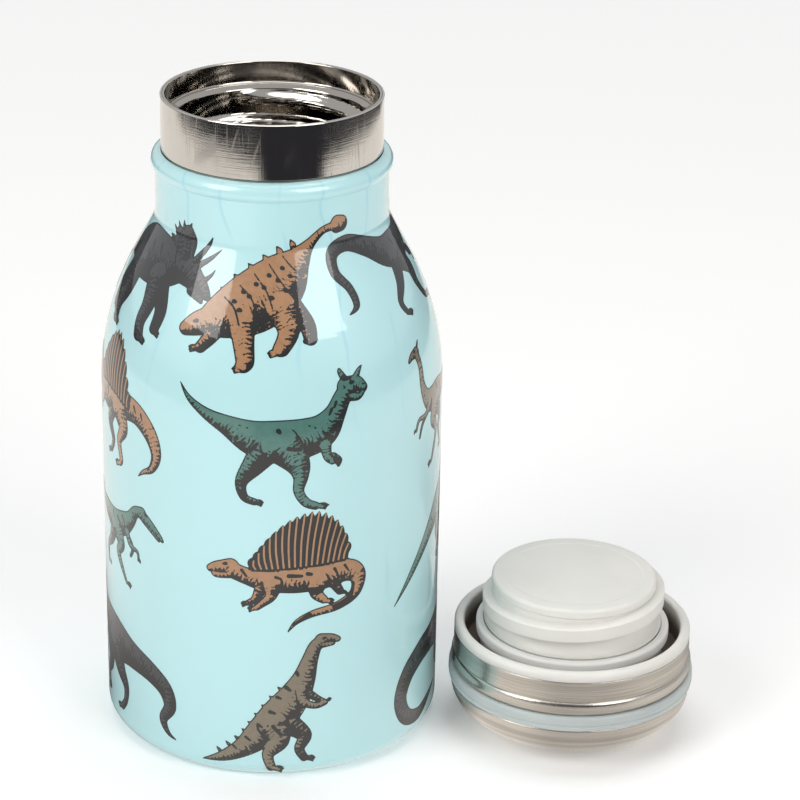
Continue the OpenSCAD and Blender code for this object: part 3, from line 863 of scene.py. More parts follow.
# %% White liner
liner_bore_r = neck_r + 0.55 * MM
liner_wall = 1.55 * MM
liner_out_r = liner_bore_r + liner_wall
web_top = lip_z - 6.8 * MM
web_low = web_top - 1.8 * MM
spigot_r = (end_high.x - end_low.x) / 2 + 0.85 * MM
cup_gap = sheet + hair_gap
moulding_t = 1.2 * MM
liner = turned_piece("white_liner", (
    top_outline(cup_gap)
    + rounded([(top_r - cup_gap, top_h - 1 * MM), (top_r - cup_gap, top_h - 0.4 * MM, 0.1 * MM),
               (liner_out_r, top_h, 0.05 * MM), (liner_out_r, skirt_high.z + hair_gap, 0.05 * MM),
               (skirt_r, skirt_high.z + hair_gap, 0.12 * MM), (skirt_r, lip_z, 0.95 * MM),
               (liner_bore_r, lip_z, 0.75 * MM), (liner_bore_r, web_top, 0.5 * MM),
               (spigot_r + hair_gap, web_top), (spigot_r + hair_gap, web_low),
               (liner_bore_r, web_low), (liner_bore_r, top_h - 1 * MM)])[1:]
    + top_outline(cup_gap + moulding_t)[::-1]), LINER, axis, steps=224)
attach(liner, "cap")
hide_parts("cap_liner")

# %% [markdown]
# The stopper is the screw. Its thread has a wide flat crest and only a little
# more than one turn, which is enough for a quick twist. The wall swells below
# the thread into the seat that holds the gasket.

# %% Stopper with its thread
core_gap, plug_wall = 1 * MM, 1.8 * MM
plug_core_r = neck_bore_r - roll_depth - core_gap
plug_bore_r = plug_core_r - plug_wall
seat_r = plug_core_r + 1.2 * MM
root_r = seat_r + 0.9 * MM
plug_top = plug_high.z
seat_low = gasket_low.z - 0.2 * MM
gasket_top = gasket_high.z
swell = arc(seat_r + 0.3 * MM, gasket_top + 3.2 * MM, 1.5 * MM, -90, -180, 14, radius_z=2.8 * MM)
plug_turns = 1.1
thread_turn = 2 * math.pi * plug_turns
plug = turned_piece("stopper_screw", (
    [(plug_bore_r, plug_low.z), (spigot_r, plug_low.z), (spigot_r + 0.8 * MM, web_low - 0.8 * MM),
     (spigot_r + 0.8 * MM, web_low - hair_gap), (spigot_r, web_low - hair_gap),
     (spigot_r, web_top + hair_gap)]
    + rounded([(spigot_r, web_top + hair_gap), (root_r, web_top + hair_gap, 0.3 * MM),
               (root_r, seat_low, 0.2 * MM), (seat_r, seat_low), (seat_r, gasket_top - 0.4 * MM),
               (seat_r + 0.3 * MM, gasket_top + 0.2 * MM)])[1:]
    + swell + ladder(plug_core_r, gasket_top + 3.3 * MM, plug_top - 0.25 * MM, 0.1 * MM)
    + [(plug_core_r - 0.1 * MM, plug_top), (plug_bore_r + 0.9 * MM, plug_top),
       (plug_bore_r + 0.9 * MM, plug_top - 0.9 * MM), (plug_bore_r, plug_top - 0.9 * MM)]),
    PLASTIC, axis, sharp=50, ridge={
        "wall_r": plug_core_r, "low": gasket_top + 2.9 * MM, "high": plug_top - 0.2 * MM,
        "Ridge Rise": 1.9 * MM, "Ridge Lead": lead, "Ridge Height At Zero": plug_helix,
        "Ridge From": front - thread_turn / 2, "Ridge To": front + thread_turn / 2,
        "Ridge Root": 4.1 * MM, "Ridge Crest": 2.6 * MM})
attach(plug, "cap")
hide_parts("stopper")

# %% [markdown]
# The end disc closes the stopper. It is welded on and has a soft edge, and the
# moulding sinks very slightly in the middle as it cools. The gasket is a squat
# ring with a rounded outer corner, a separate body here, because it stays put
# on the ledge while the stopper turns in it.

# %% End disc and gasket
end_r = (end_high.x - end_low.x) / 2
disc_z = plug_top + hair_gap
end_top = end_high.z
end_disc = turned_piece("stopper_end_disc", rounded([
    (0, disc_z), (plug_bore_r + hair_gap, disc_z), (plug_bore_r + hair_gap, disc_z - 0.85 * MM),
    (plug_bore_r + 0.85 * MM, disc_z - 0.85 * MM), (plug_bore_r + 0.85 * MM, disc_z),
    (end_r - 0.2 * MM, disc_z, 0.1 * MM), (end_r, disc_z + 0.5 * MM, 0.3 * MM),
    (end_r, end_top - 0.1 * MM, 1.3 * MM), (end_r - 2.6 * MM, end_top - 0.02 * MM, 0.8 * MM),
    (end_r - 3.1 * MM, end_top - 0.12 * MM, 0.8 * MM), (0, end_top - 0.16 * MM)]),
    PLASTIC, axis, steps=224)
gasket_r = (gasket_high.x - gasket_low.x) / 2
gasket = turned_piece("gasket_ring", rounded([
    (seat_r + 0.2 * MM, gasket_low.z), (gasket_r, gasket_low.z, 0.4 * MM),
    (gasket_r, gasket_top, 0.95 * MM), (seat_r + 0.5 * MM, gasket_top, 0.15 * MM),
    (seat_r + 0.2 * MM, gasket_top - 0.4 * MM)]),
    GASKET, axis, steps=224)
for piece, body, node, slot in ((end_disc, "cap", "stopper_end", "white_plastic"),
                                (gasket, "gasket", "stopper_gasket", "white_silicone")):
    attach(piece, body)
    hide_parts(node)

# %% [markdown]
# ## Pieces that keep their mechanical shape
# Eight nodes are already right: flat discs, a foil sleeve, a pill and its clip,
# the solder bead and the foam puck. They keep their meshes and only get a
# finish, because a plain part should stay plain.

# %% Finishes for the carried-over pieces
for node, material in {
        "inner_flask_base": FLASK, "foil_wrap": FOIL, "outer_base": FLASK, "base_cover": ENAMEL,
        "vacuum_seal": SOLDER, "getter": PILL, "getter_clip": FLASK, "stopper_foam": FOAM}.items():
    mesh = frame["nodes"][node].data
    mesh.materials.clear()
    mesh.materials.append(material)
    print(node, "->", material.name)

# %% [markdown]
# ## The printed pattern
# The bottle is printed all over with prehistoric animals in four inks, shaded
# with black like old engravings. A picture could be mapped on as an image, but
# drawing each animal from strokes keeps it sharp at any size and makes the print
# real geometry. An animal is a few brush strokes, as in a life class: one for
# the tail, back and neck, one for each limb. A stroke is a chain of points
# (x, y, radius) in millimetres. Strokes behind the body are "far", those in
# front are "near". Thin black strokes mark eyes, mouths and folds, and light
# strokes are left out of the black, like the ribs of a sail.

# %% Measure brush strokes
def flowing(line):
    """A smooth chain through the given (x, y, radius) points."""
    p = np.array([line[0]] + list(line) + [line[-1]], float)
    made = []
    for i in range(1, len(p) - 2):
        for t in np.linspace(0, 1, 6, endpoint=False):
            made.append(0.5 * (2 * p[i] + (p[i + 1] - p[i - 1]) * t
                               + (2 * p[i - 1] - 5 * p[i] + 4 * p[i + 1] - p[i + 2]) * t ** 2
                               + (3 * p[i] - p[i - 1] - 3 * p[i + 1] + p[i + 2]) * t ** 3))
    made.append(p[-2])
    made = np.array(made)
    made[:, 2] = np.maximum(made[:, 2], 0.05)
    return made


def brush(x, y, line):
    """For a grid's points: distance outside the stroke, length along it, and place across it."""
    path = flowing(line)
    best = np.full(x.shape, 1e9)
    along = np.zeros(x.shape)
    across_x, across_y = np.zeros(x.shape), np.zeros(x.shape)
    walked = 0.0
    for a, b in zip(path, path[1:]):
        step = b[:2] - a[:2]
        length = max(math.hypot(*step), 1e-6)
        t = np.clip(((x - a[0]) * step[0] + (y - a[1]) * step[1]) / length ** 2, 0, 1)
        cx, cy, r = a[0] + t * step[0], a[1] + t * step[1], a[2] + t * (b[2] - a[2])
        away = np.hypot(x - cx, y - cy) - r
        closer = away < best
        best = np.where(closer, away, best)
        along = np.where(closer, walked + t * length, along)
        across_x = np.where(closer, (x - cx) / r, across_x)
        across_y = np.where(closer, (y - cy) / r, across_y)
        walked += length
    return best, along, across_x, across_y


# %% [markdown]
# Each stroke is shaded as if it were a round limb lit from the upper left. The
# animal then becomes a flat mesh: a fine grid is laid over it, cells inside the
# outline are kept, and cells that the outline crosses are cut along it. Five
# numbers are stored at each point, and the ink reads them: how far inside the
# outline it is, how dark the form is there, how far along the limb, and the
# distances to the nearest black and light strokes.

# %% Shade one animal on a grid
LIGHT = np.array([-0.38, 0.80, 0.45])
LIGHT = LIGHT / np.linalg.norm(LIGHT)
CELL = 0.28
SOLID_BLACK = 1.6


def animal_fields(animal):
    """Lays a grid over an animal's strokes and works out what the ink needs at each of its points."""
    strokes = [s for part in ("far", "body", "near") for s in animal.get(part, [])]
    every = np.array([p for s in strokes for p in s], float)
    low, high = (every[:, :2] - every[:, 2:]).min(0) - 1, (every[:, :2] + every[:, 2:]).max(0) + 1
    x, y = np.meshgrid(*(np.arange(a, b + CELL, CELL) for a, b in zip(low, high)), indexing="ij")
    outside = np.full(x.shape, 1e9)
    shade, along, marks = np.ones(x.shape), np.zeros(x.shape), np.full(x.shape, 1e9)
    for part, add_dark in (("far", 0.42), ("body", 0.0), ("near", 0.02)):
        for line in animal.get(part, []):
            away, run, ax, ay = brush(x, y, line)
            depth = np.sqrt(np.clip(1 - ax ** 2 - ay ** 2, 0, 1))
            dark = 1 - np.clip(ax * LIGHT[0] + ay * LIGHT[1] + depth * LIGHT[2], 0, 1) + add_dark
            covers = away < 0 if part == "near" else away < outside
            # Where a near limb crosses the body in shade, a black line follows its edge
            if part == "near":
                edge = np.abs(away) - 0.30 * np.clip(dark - 0.2, 0, 1)
                rim = np.where((outside < -0.2) & (dark > 0.45), edge, 1e9)
                marks = np.minimum(np.where(covers & (marks > rim), 1e9, marks), rim)
            shade, along = np.where(covers, dark, shade), np.where(covers, run, along)
            outside = np.minimum(outside, away)
    for line in animal.get("marks", []):
        marks = np.minimum(marks, brush(x, y, line)[0])
    bare = np.full(x.shape, 1e9)
    for line in animal.get("bare", []):
        bare = np.minimum(bare, brush(x, y, line)[0])
    for line in animal.get("black", []):
        shade = np.where(brush(x, y, line)[0] < 0, SOLID_BLACK, shade)
    return x, y, outside, {"inside": -outside, "shade": shade, "along": along,
                           "mark": np.clip(marks, -2, 2), "bare": np.clip(bare, -2, 2)}

# %% [markdown]
# Now the animals themselves. They are general types that any museum shows, each
# drawn from its skeleton: hips, shoulder, length of tail, how the legs bend. It
# helps to place the spine first, then the near leg with its foot under the
# hips, and the far limbs last. Toes, claws, horns and back plates come from
# small helpers, because every animal needs them.

# %% Helpers for toes, claws, spikes
def toes(x, y, reach=2.2, count=3, r=0.42, lift=0.0):
    """Short tapering toes that fan forward from the end of a foot. A negative reach points them left."""
    return [[(x, y, r), (x + reach * 0.6, y + 0.35 - 0.42 * k + lift, r * 0.8),
             (x + reach * (1 - 0.12 * k), y - 0.1 - 0.42 * k + lift * 1.4, 0.12)] for k in range(count)]


def spikes(path, length, lean=0.0, base=0.5):
    """A row of small spikes standing on a line of points, leaning by an angle in degrees."""
    made = []
    for (x0, y0), (x1, y1) in zip(path, path[1:]):
        across = math.atan2(y1 - y0, x1 - x0) + math.pi / 2 + math.radians(lean)
        tip = (x0 + length * math.cos(across), y0 + length * math.sin(across), 0.08)
        made.append([(x0, y0, base), tip])
    return made


def dots(places, r):
    """Round marks, drawn as strokes too short to see."""
    return [[(x, y, r), (x + 0.25, y - 0.1, r * 0.8)] for x, y in places]


def count_strokes(*animals):
    for animal in animals:
        print(animal.__name__, "has", sum(map(len, animal().values())), "strokes")


# %% [markdown]
# A two-legged hunter balances over its hips, with a long tail against the weight
# of its chest and head. So the body stroke is one curve from the tip of the tail
# to the neck, and the two legs start from the same place under it.

# %% Two-legged hunters
def horned_hunter():
    """A stocky hunter with two brow horns, striding right with its tail held up."""
    return {
        "far": [
            [(-1, -1, 3.2), (-3.6, -4.6, 2.3), (-6.1, -8.4, 1.3), (-5.6, -11.6, 0.9), (-3.6, -12.6, 0.8)],
            [(12.2, -3.6, 0.8), (13.6, -4.6, 0.5), (13.3, -5.8, 0.35)], *toes(-3.6, -12.7, 1.9),
        ],
        "body": [
            [(-19.4, 10.6, 0.1), (-17.2, 7.8, 0.6), (-13.4, 5.3, 1.2), (-8.6, 3.2, 2.2), (-3.6, 1, 3.7),
             (1.4, 0.2, 4.6), (6.2, 0.8, 4.2), (9.8, 2, 3.6), (12.4, 5, 2.4), (14.2, 8.2, 2),
             (15.8, 10, 2.1)], [(15.2, 10.4, 2), (17.6, 10.6, 1.6), (19, 9.6, 1.15)],
            [(15.4, 8.6, 1.2), (17.6, 7.9, 0.8), (18.8, 8.4, 0.5)],
            [(15, 11.9, 0.8), (14.1, 13.5, 0.55), (14, 14.2, 0.12)],
            [(17.5, 11.8, 0.8), (18.5, 13.2, 0.5), (19.3, 14, 0.1)],
        ],
        "near": [
            [(1.6, -0.4, 3.9), (4.8, -4.2, 2.6), (5.6, -7.2, 1.6), (5.2, -10.4, 1.1), (6.6, -12.9, 1),
             (8.6, -13.9, 0.9)], *toes(8.4, -14, 3),
            [(10.6, -1.2, 1.2), (11, -3.6, 0.9), (12, -4.9, 0.55)], *toes(12, -5, 1, 2, 0.3),
        ],
        "marks": [
            [(16, 9.1, 0.16), (17.6, 8.9, 0.13), (19.3, 9.3, 0.1)], [(16.4, 11, 0.42), (16.9, 11, 0.3)],
            [(19, 10.3, 0.18), (19.2, 10.2, 0.1)], [(15, 12.2, 0.7), (16.4, 12, 0.3)],
            [(1.2, 2.6, 0.5), (1.5, 2.2, 0.3)], [(3.2, -1.2, 0.45), (5.6, -1.6, 0.3)],
            [(12.9, 7.6, 0.3), (12.5, 6.6, 0.2)], [(11.9, 6.3, 0.3), (11.4, 5.2, 0.2)],
            *dots([(-6.5, 3.6), (-5, 3.2), (8.4, 2.9), (7.2, 3.4)], 0.16),
        ],
    }


def slim_raptor():
    """A light raptor that leans forward to the right, head low and tail stiff behind."""
    return {
        "far": [
            [(-1, -0.5, 2), (-2.6, -4, 1.3), (-5.2, -6.6, 0.7), (-4.9, -10, 0.45)],
            [(5.6, 0, 0.8), (7.4, -2.2, 0.55), (6.6, -4.2, 0.4)], *toes(-4.9, -10.1, 1.7, 2, 0.3),
        ],
        "body": [
            [(-19.6, 7.2, 0.1), (-14.4, 5, 0.6), (-8.6, 3.2, 1.3), (-3.4, 1.6, 2.4), (0.4, 1, 3),
             (4, 2.2, 2.6), (6.6, 4, 1.8), (8.6, 6.4, 1.3), (10.8, 7, 1.3)],
            [(10.6, 6.7, 1.4), (13.2, 5.2, 1.1), (15.6, 3.4, 0.75), (16.5, 2.6, 0.45)],
            [(11, 5.7, 0.7), (13.4, 4, 0.5), (15.6, 2.3, 0.3)],
        ],
        "near": [
            [(0.4, 0.2, 2.5), (2.6, -3, 1.6), (1.4, -5.6, 1), (3.8, -9.6, 0.55), (4.8, -11, 0.45)],
            *toes(4.8, -11, 1.9, 3, 0.3),
            [(5.4, 0.6, 0.9), (6.6, -1.8, 0.65), (9, -2.4, 0.45), (9.4, -4.2, 0.3)],
            *toes(9.2, -4.2, 0.9, 2, 0.25),
        ],
        "marks": [
            [(11.8, 6.9, 0.3), (12.2, 6.7, 0.2)],
            [(11.4, 5.3, 0.14), (13.6, 4.2, 0.1), (16.2, 2.4, 0.08)], [(1.2, 2.6, 0.3), (2.6, 1.2, 0.14)],
            [(3.4, 3.6, 0.22), (4.4, 2.4, 0.14)], [(-1.2, 3, 0.22), (-0.6, 1.6, 0.12)],
            [(7.6, 6, 0.16), (8.2, 5.2, 0.1)],
        ],
    }


def big_tail():
    """A heavy hunter walking left, its thick tail hanging down to the right."""
    return {
        "far": [
            [(-7.4, -1, 2.8), (-7, -5, 1.9), (-9.2, -8.6, 1), (-8.4, -12, 0.8)], *toes(-8.6, -12.2, -1.9),
        ],
        "body": [
            [(17.6, -13.6, 0.1), (15.4, -12.4, 0.6), (14.2, -9.6, 1.1), (16, -6.2, 1.6),
             (14.6, -2.4, 2.1), (10.2, 0.2, 2.6), (4, 1.6, 3.4), (-2.4, 2.6, 4.8), (-8.4, 3.8, 4.6),
             (-13, 6.4, 3), (-15.4, 9.2, 2.3)], [(-15, 10, 2.3), (-18, 9.6, 1.8), (-20.4, 8.6, 1.2)],
            [(-15.6, 8.2, 1.3), (-18.2, 7.2, 0.8), (-19.8, 7, 0.5)],
        ],
        "near": [
            [(-3.4, 0.8, 4), (-1.2, -3.6, 2.5), (1.6, -7.2, 1.3), (1.4, -10.6, 0.9), (-0.2, -12.8, 0.9)],
            *toes(-0.2, -13, -2.4), [(-10.6, 1, 0.9), (-12.4, -0.6, 0.6), (-12.6, -2, 0.35)],
        ],
        "marks": [
            [(-16.4, 10.6, 0.36), (-16.9, 10.5, 0.25)],
            [(-16.2, 8.8, 0.15), (-18.6, 8.2, 0.12), (-20.8, 8, 0.1)],
            [(0.8, 3.6, 0.3), (1.8, 1.6, 0.14)], [(4.4, 3.4, 0.26), (5, 1.8, 0.12)],
            [(7.8, 2.4, 0.24), (8.2, 1, 0.12)], [(11, 1.4, 0.22), (11, 0.2, 0.12)],
        ],
    }


count_strokes(horned_hunter, slim_raptor, big_tail)

# %% [markdown]
# The same five kinds of stroke give very different animals. One that rears up
# has a steep spine and a tail that droops to the ground. A runner is thin, with
# long shins and a small head held high.

# %% Upright grazer and fast runner
def upright_grazer():
    """A thumb-clawed grazer that rears up to the right on its hind legs, with low knobs down its back."""
    back = [(-13.2, -12.2), (-11.2, -10.6), (-9.4, -9.0), (-7.8, -7.2), (-6.5, -5.4), (-5.2, -3.4),
            (-3.8, -1.4), (-2.2, 0.6), (-0.5, 2.6), (1.2, 4.6)]
    return {
        "far": [
            [(1.4, -5.6, 2.4), (4.4, -8.4, 1.6), (3.4, -11.4, 1.1), (4.4, -13.6, 0.9)],
            *toes(4.8, -13.8, 1.9), [(5, 1.4, 1), (7.4, -0.4, 0.7), (8.6, -1, 0.5)],
        ],
        "body": [
            [(-16.8, -15, 0.1), (-12.4, -13.6, 1.2), (-8, -11, 2.2), (-4, -7.2, 3.4), (-0.6, -3.2, 3.9),
             (2.2, 0.6, 3.4), (4.2, 4.6, 2.5), (5.4, 8.6, 1.8), (6.6, 11.8, 1.5), (8.2, 13, 1.4)],
            [(7.8, 13.2, 1.4), (10, 13.2, 1), (11.4, 12.7, 0.7)], [(8.2, 12, 0.8), (10.4, 11.9, 0.45)],
            *spikes(back, 0.85, base=0.42),
        ],
        "near": [
            [(-2, -5.6, 3.2), (-0.8, -9.2, 2.2), (-3, -12.4, 1.3), (-2.4, -15.4, 1)],
            *toes(-2, -15.8, 2.2),
            [(3.8, 2.2, 1.2), (4.2, -0.6, 0.95), (6.8, -1.8, 0.75), (8.8, -1.4, 0.6)],
            *toes(8.9, -1.4, 1.2, 2, 0.3, lift=0.5),
        ],
        "marks": [
            [(8.4, 13.4, 0.3), (8.8, 13.4, 0.2)], [(9.2, 12.5, 0.12), (11.6, 12.2, 0.08)],
            [(2.8, 6.2, 0.4), (3.1, 5.5, 0.25)], [(0.6, 3, 0.42), (1.5, 2.2, 0.25)],
            [(-1.2, 0.8, 0.35), (-0.4, 0.4, 0.2)], [(-2.6, -2.6, 0.4), (-1.6, -3, 0.25)],
            [(-2, -6, 0.4), (-0.4, -8, 0.3)], [(-5, -5.6, 0.3), (-4.2, -6.2, 0.2)],
            [(-7.6, -8.6, 0.28), (-6.6, -9.4, 0.18)], [(-10.2, -10.8, 0.24), (-9.4, -11.6, 0.15)],
        ],
    }


def fast_runner():
    """A slender runner that faces left on long legs, small head high on a thin neck."""
    return {
        "far": [
            [(3, -1, 2.2), (5.4, -4.4, 1.3), (4.6, -7.6, 0.6), (6.6, -11.6, 0.45)],
            *toes(6.4, -11.8, -1.5, 2, 0.3), [(-1.8, -0.4, 0.6), (-5, -2.8, 0.5), (-6.2, -5.6, 0.35)],
        ],
        "body": [
            [(18.4, 3, 0.1), (12.4, 2.4, 0.8), (7.6, 1.6, 1.8), (3.4, 1, 3.2), (-0.6, 1, 2.8),
             (-3.4, 2.4, 1.7), (-5, 5.6, 1), (-5.2, 9.6, 0.85), (-6, 12.4, 0.95)],
            [(-6, 12.8, 1.15), (-7.8, 12.4, 0.8), (-9, 11.6, 0.4)],
            [(-5.2, 14, 0.35), (-4.6, 14.9, 0.15)],
        ],
        "near": [
            [(2.6, 0, 2.8), (0.6, -3.8, 1.8), (2.4, -7, 0.8), (0.6, -11.4, 0.55), (-0.2, -12.8, 0.5)],
            *toes(-0.2, -13, -2, 3, 0.3),
            [(-1.6, 0.6, 0.8), (-3.8, -1.4, 0.65), (-6.6, -1.6, 0.5), (-7.6, -3.6, 0.35)],
            *toes(-7.6, -3.6, -0.9, 2, 0.25),
        ],
        "marks": [
            [(-6.6, 13.1, 0.32), (-6.9, 13, 0.2)], [(-7.2, 12, 0.1), (-9, 11.3, 0.08)],
            [(2, 3.2, 0.3), (2.8, 1.8, 0.14)], [(4.6, 3, 0.28), (5.2, 1.6, 0.12)],
            [(7, 2.6, 0.22), (7.4, 1.4, 0.12)], [(-4.6, 7.2, 0.14), (-5.8, 6.6, 0.1)],
            [(-4.4, 9.4, 0.14), (-5.8, 9, 0.1)],
        ],
    }


count_strokes(upright_grazer, fast_runner)

# %% [markdown]
# On four legs the back is a low arch and the legs are short. What tells such
# animals apart stands on that arch or sits at its ends: knobs, a club, a frill
# and horns.

# %% Four-legged plant eaters
def armoured_clubtail():
    """A broad armoured animal coming down to the left, its club raised behind at the upper right."""
    knobs = [(-3.8, 0.8), (-1.4, 2.4), (1.2, 4.2), (4.0, 5.6), (-5.4, -1.2), (-2.6, 0.0), (0.2, 1.8),
             (3.0, 3.2),
             (5.6, 4.0), (-4.2, -2.8), (-1.2, -1.8), (1.8, -0.2), (4.6, 1.2)]
    return {
        "far": [
            [(-6.4, -3.6, 2), (-8.6, -8, 1.5), (-10.6, -11, 1.1)], *toes(-10.8, -11.3, -2, 3, 0.45),
            [(5.2, -1.4, 2.2), (8, -5.4, 1.6), (8.6, -8.6, 1.2)], *toes(8.6, -8.8, -1.4, 2, 0.4),
        ],
        "body": [
            [(17.4, 13, 1), (13.8, 12.4, 0.85), (10.2, 9.6, 1.4), (7, 6.4, 3), (3, 2.6, 5.6),
             (-1.4, -0.8, 6.2), (-5.6, -3.4, 5), (-8.8, -5.2, 3.3)],
            [(17.6, 13.2, 1.9), (18.8, 13.2, 1.7)],
            [(-8.4, -4.8, 2.8), (-11.6, -6.4, 2.4), (-13.8, -7.8, 1.5)],
            [(-8.2, -2.6, 0.8), (-7.6, -1, 0.15)], [(-10.2, -3.6, 0.7), (-10.4, -2, 0.12)],
            *spikes([(-7.4, 0.6), (-5.2, 3.2), (-2.4, 5.4), (0.6, 7.2), (3.6, 8.8), (6.6, 10), (9, 10.6)],
                    1.4, 12, 0.8),
        ],
        "near": [
            [(-3.6, -4.8, 2.5), (-3, -9.2, 1.9), (-2.6, -12.6, 1.6), (-2.9, -13.6, 1.4)],
            *toes(-2.7, -14.2, -2, 3, 0.5), [(3.6, -2, 3), (4.8, -6.6, 2), (3.4, -10.2, 1.5)],
            *toes(3.2, -10.9, -2.1, 3, 0.5),
        ],
        "marks": [
            *dots(knobs, 0.42), [(-12, -6, 0.4), (-12.5, -6.2, 0.25)],
            [(-11.6, -8.2, 0.16), (-13.4, -8.6, 0.12), (-14.8, -8.8, 0.08)],
            [(-7.4, -0.6, 0.14), (-5.2, -2.6, 0.16), (-4, -5.8, 0.14)],
            [(-4.6, 2, 0.12), (-2, -0.6, 0.14), (-0.6, -4.6, 0.12)],
            [(-1.8, 4.4, 0.12), (0.8, 1, 0.14), (2, -2.4, 0.12)],
            [(1.2, 6.4, 0.12), (3.6, 3, 0.14), (5.6, 0.2, 0.12)],
            [(4.2, 8, 0.12), (6.2, 5.6, 0.14), (8.6, 3.8, 0.12)], [(13, 11.2, 0.1), (12.4, 12.4, 0.1)],
            [(14.6, 11.7, 0.1), (14.2, 13, 0.1)],
        ],
        "bare": [[(x + 0.5, y + 0.5, 0.16), (x + 0.8, y + 0.45, 0.1)] for x, y in knobs],
    }


def three_horned():
    """A heavy three-horned animal seen from the side, facing right with a raised frill."""
    return {
        "far": [
            [(-8.6, -1.6, 2.4), (-10.4, -5.6, 1.6), (-10.2, -10, 1.2)], *toes(-10.2, -10.6, 1.4, 3, 0.45),
            [(4.6, -1.6, 2), (6.2, -6, 1.5), (5.8, -10, 1.15)], *toes(5.9, -10.6, 1.4, 3, 0.45),
        ],
        "body": [
            [(-17.4, -3.2, 0.1), (-14.8, 0.6, 1.2), (-11.4, 2.8, 3.2), (-6.6, 3.4, 5.2), (-1.2, 3, 5.4),
             (3.8, 2.8, 4.6), (7, 3.4, 3.6)], [(6.8, 4.2, 3), (5.4, 7.6, 2.6), (4.6, 9.6, 1.5)],
            [(7.2, 5, 2.9), (7.6, 8, 2.6), (7.4, 10.2, 1.7)],
            *spikes([(2.4, 8.2), (3.1, 9.7), (4.4, 10.6), (5.9, 11.1), (7.7, 11.2), (9.4, 10.3)], 1.5, 0,
                    0.6),
            [(8.6, 3.2, 3), (11.4, 2, 2.4), (14.2, 0.2, 1.5), (15.6, -1.2, 0.8)],
            [(10.4, 4.6, 0.9), (13, 8.2, 0.6), (14.4, 10.6, 0.12)],
            [(11.4, 4, 0.8), (14.6, 6.4, 0.5), (16.8, 8.4, 0.1)],
            [(14, 1.6, 0.7), (15.6, 3.2, 0.35), (16.2, 4.4, 0.1)],
            [(12, -0.4, 1.2), (14, -1.8, 0.7), (14.6, -2.4, 0.4)],
        ],
        "near": [
            [(-7.2, 0, 4), (-6.4, -5.2, 2.4), (-7.6, -9.4, 1.5), (-7.4, -12.2, 1.4)],
            *toes(-7.2, -12.8, 1.9, 3, 0.5),
            [(2.2, -0.2, 2.8), (2.6, -5.4, 1.9), (1.8, -9.6, 1.4), (2.2, -12.4, 1.3)],
            *toes(2.4, -13, 1.9, 3, 0.5),
        ],
        "marks": [
            [(11.8, 2.6, 0.4), (12.3, 2.5, 0.25)], [(12.2, -0.4, 0.14), (14, -1, 0.1)],
            [(7.4, 7.4, 0.2), (6.6, 9.4, 0.15)], [(6.2, 2.4, 0.2), (5.2, 5.4, 0.16), (4.2, 8.8, 0.12)],
            [(-4, 5.6, 0.3), (-3.2, 3.6, 0.15)], [(-0.4, 5.8, 0.28), (0.4, 3.8, 0.14)],
            [(-8.4, 5.4, 0.28), (-7.6, 3.8, 0.14)], [(-11.4, 3.6, 0.22), (-10.8, 2.4, 0.12)],
        ],
        "bare": [
            [(9.6, 5, 0.14), (9, 8.6, 0.1)], [(-5.6, 7.2, 0.14), (-2, 7.6, 0.1)],
            [(2, 6.4, 0.12), (4.2, 5.6, 0.1)],
        ],
    }


count_strokes(armoured_clubtail, three_horned)

# %% [markdown]
# A sail is a skin on tall spines. Each spine is a stroke that is inked black,
# with a thin light stroke down its middle, so the sail shows pale ribs on a dark
# web and a row of spine tips along its edge. One helper makes it for two animals.

# %% Sail-backed animals
def sail(feet, heights, lean):
    """Strokes for a sail: its web, black and light ribs. Lean turns a foot's x into a slope in degrees."""
    body, black, bare = [], [], []
    web = 0.95
    for (x, y), high in zip(feet, heights):
        tip = (x + high * math.sin(math.radians(lean(x))), y + high * math.cos(math.radians(lean(x))))
        mid = ((x + tip[0]) / 2 - 0.25, (y + tip[1]) / 2)
        near_tip = (0.2 * x + 0.8 * tip[0] - 0.2, 0.2 * y + 0.8 * tip[1])
        body.append([(x, y, web), (*mid, web), (*near_tip, web * 1.15), (*tip, 0.16)])
        black.append([(x, y + 0.9, web + 0.3), (*mid, web + 0.3), (*near_tip, web + 0.3), (*tip, 0.5)])
        bare.append([(x, y + 0.3, 0.15), (*mid, 0.14), (*tip, 0.12)])
    return body, black, bare


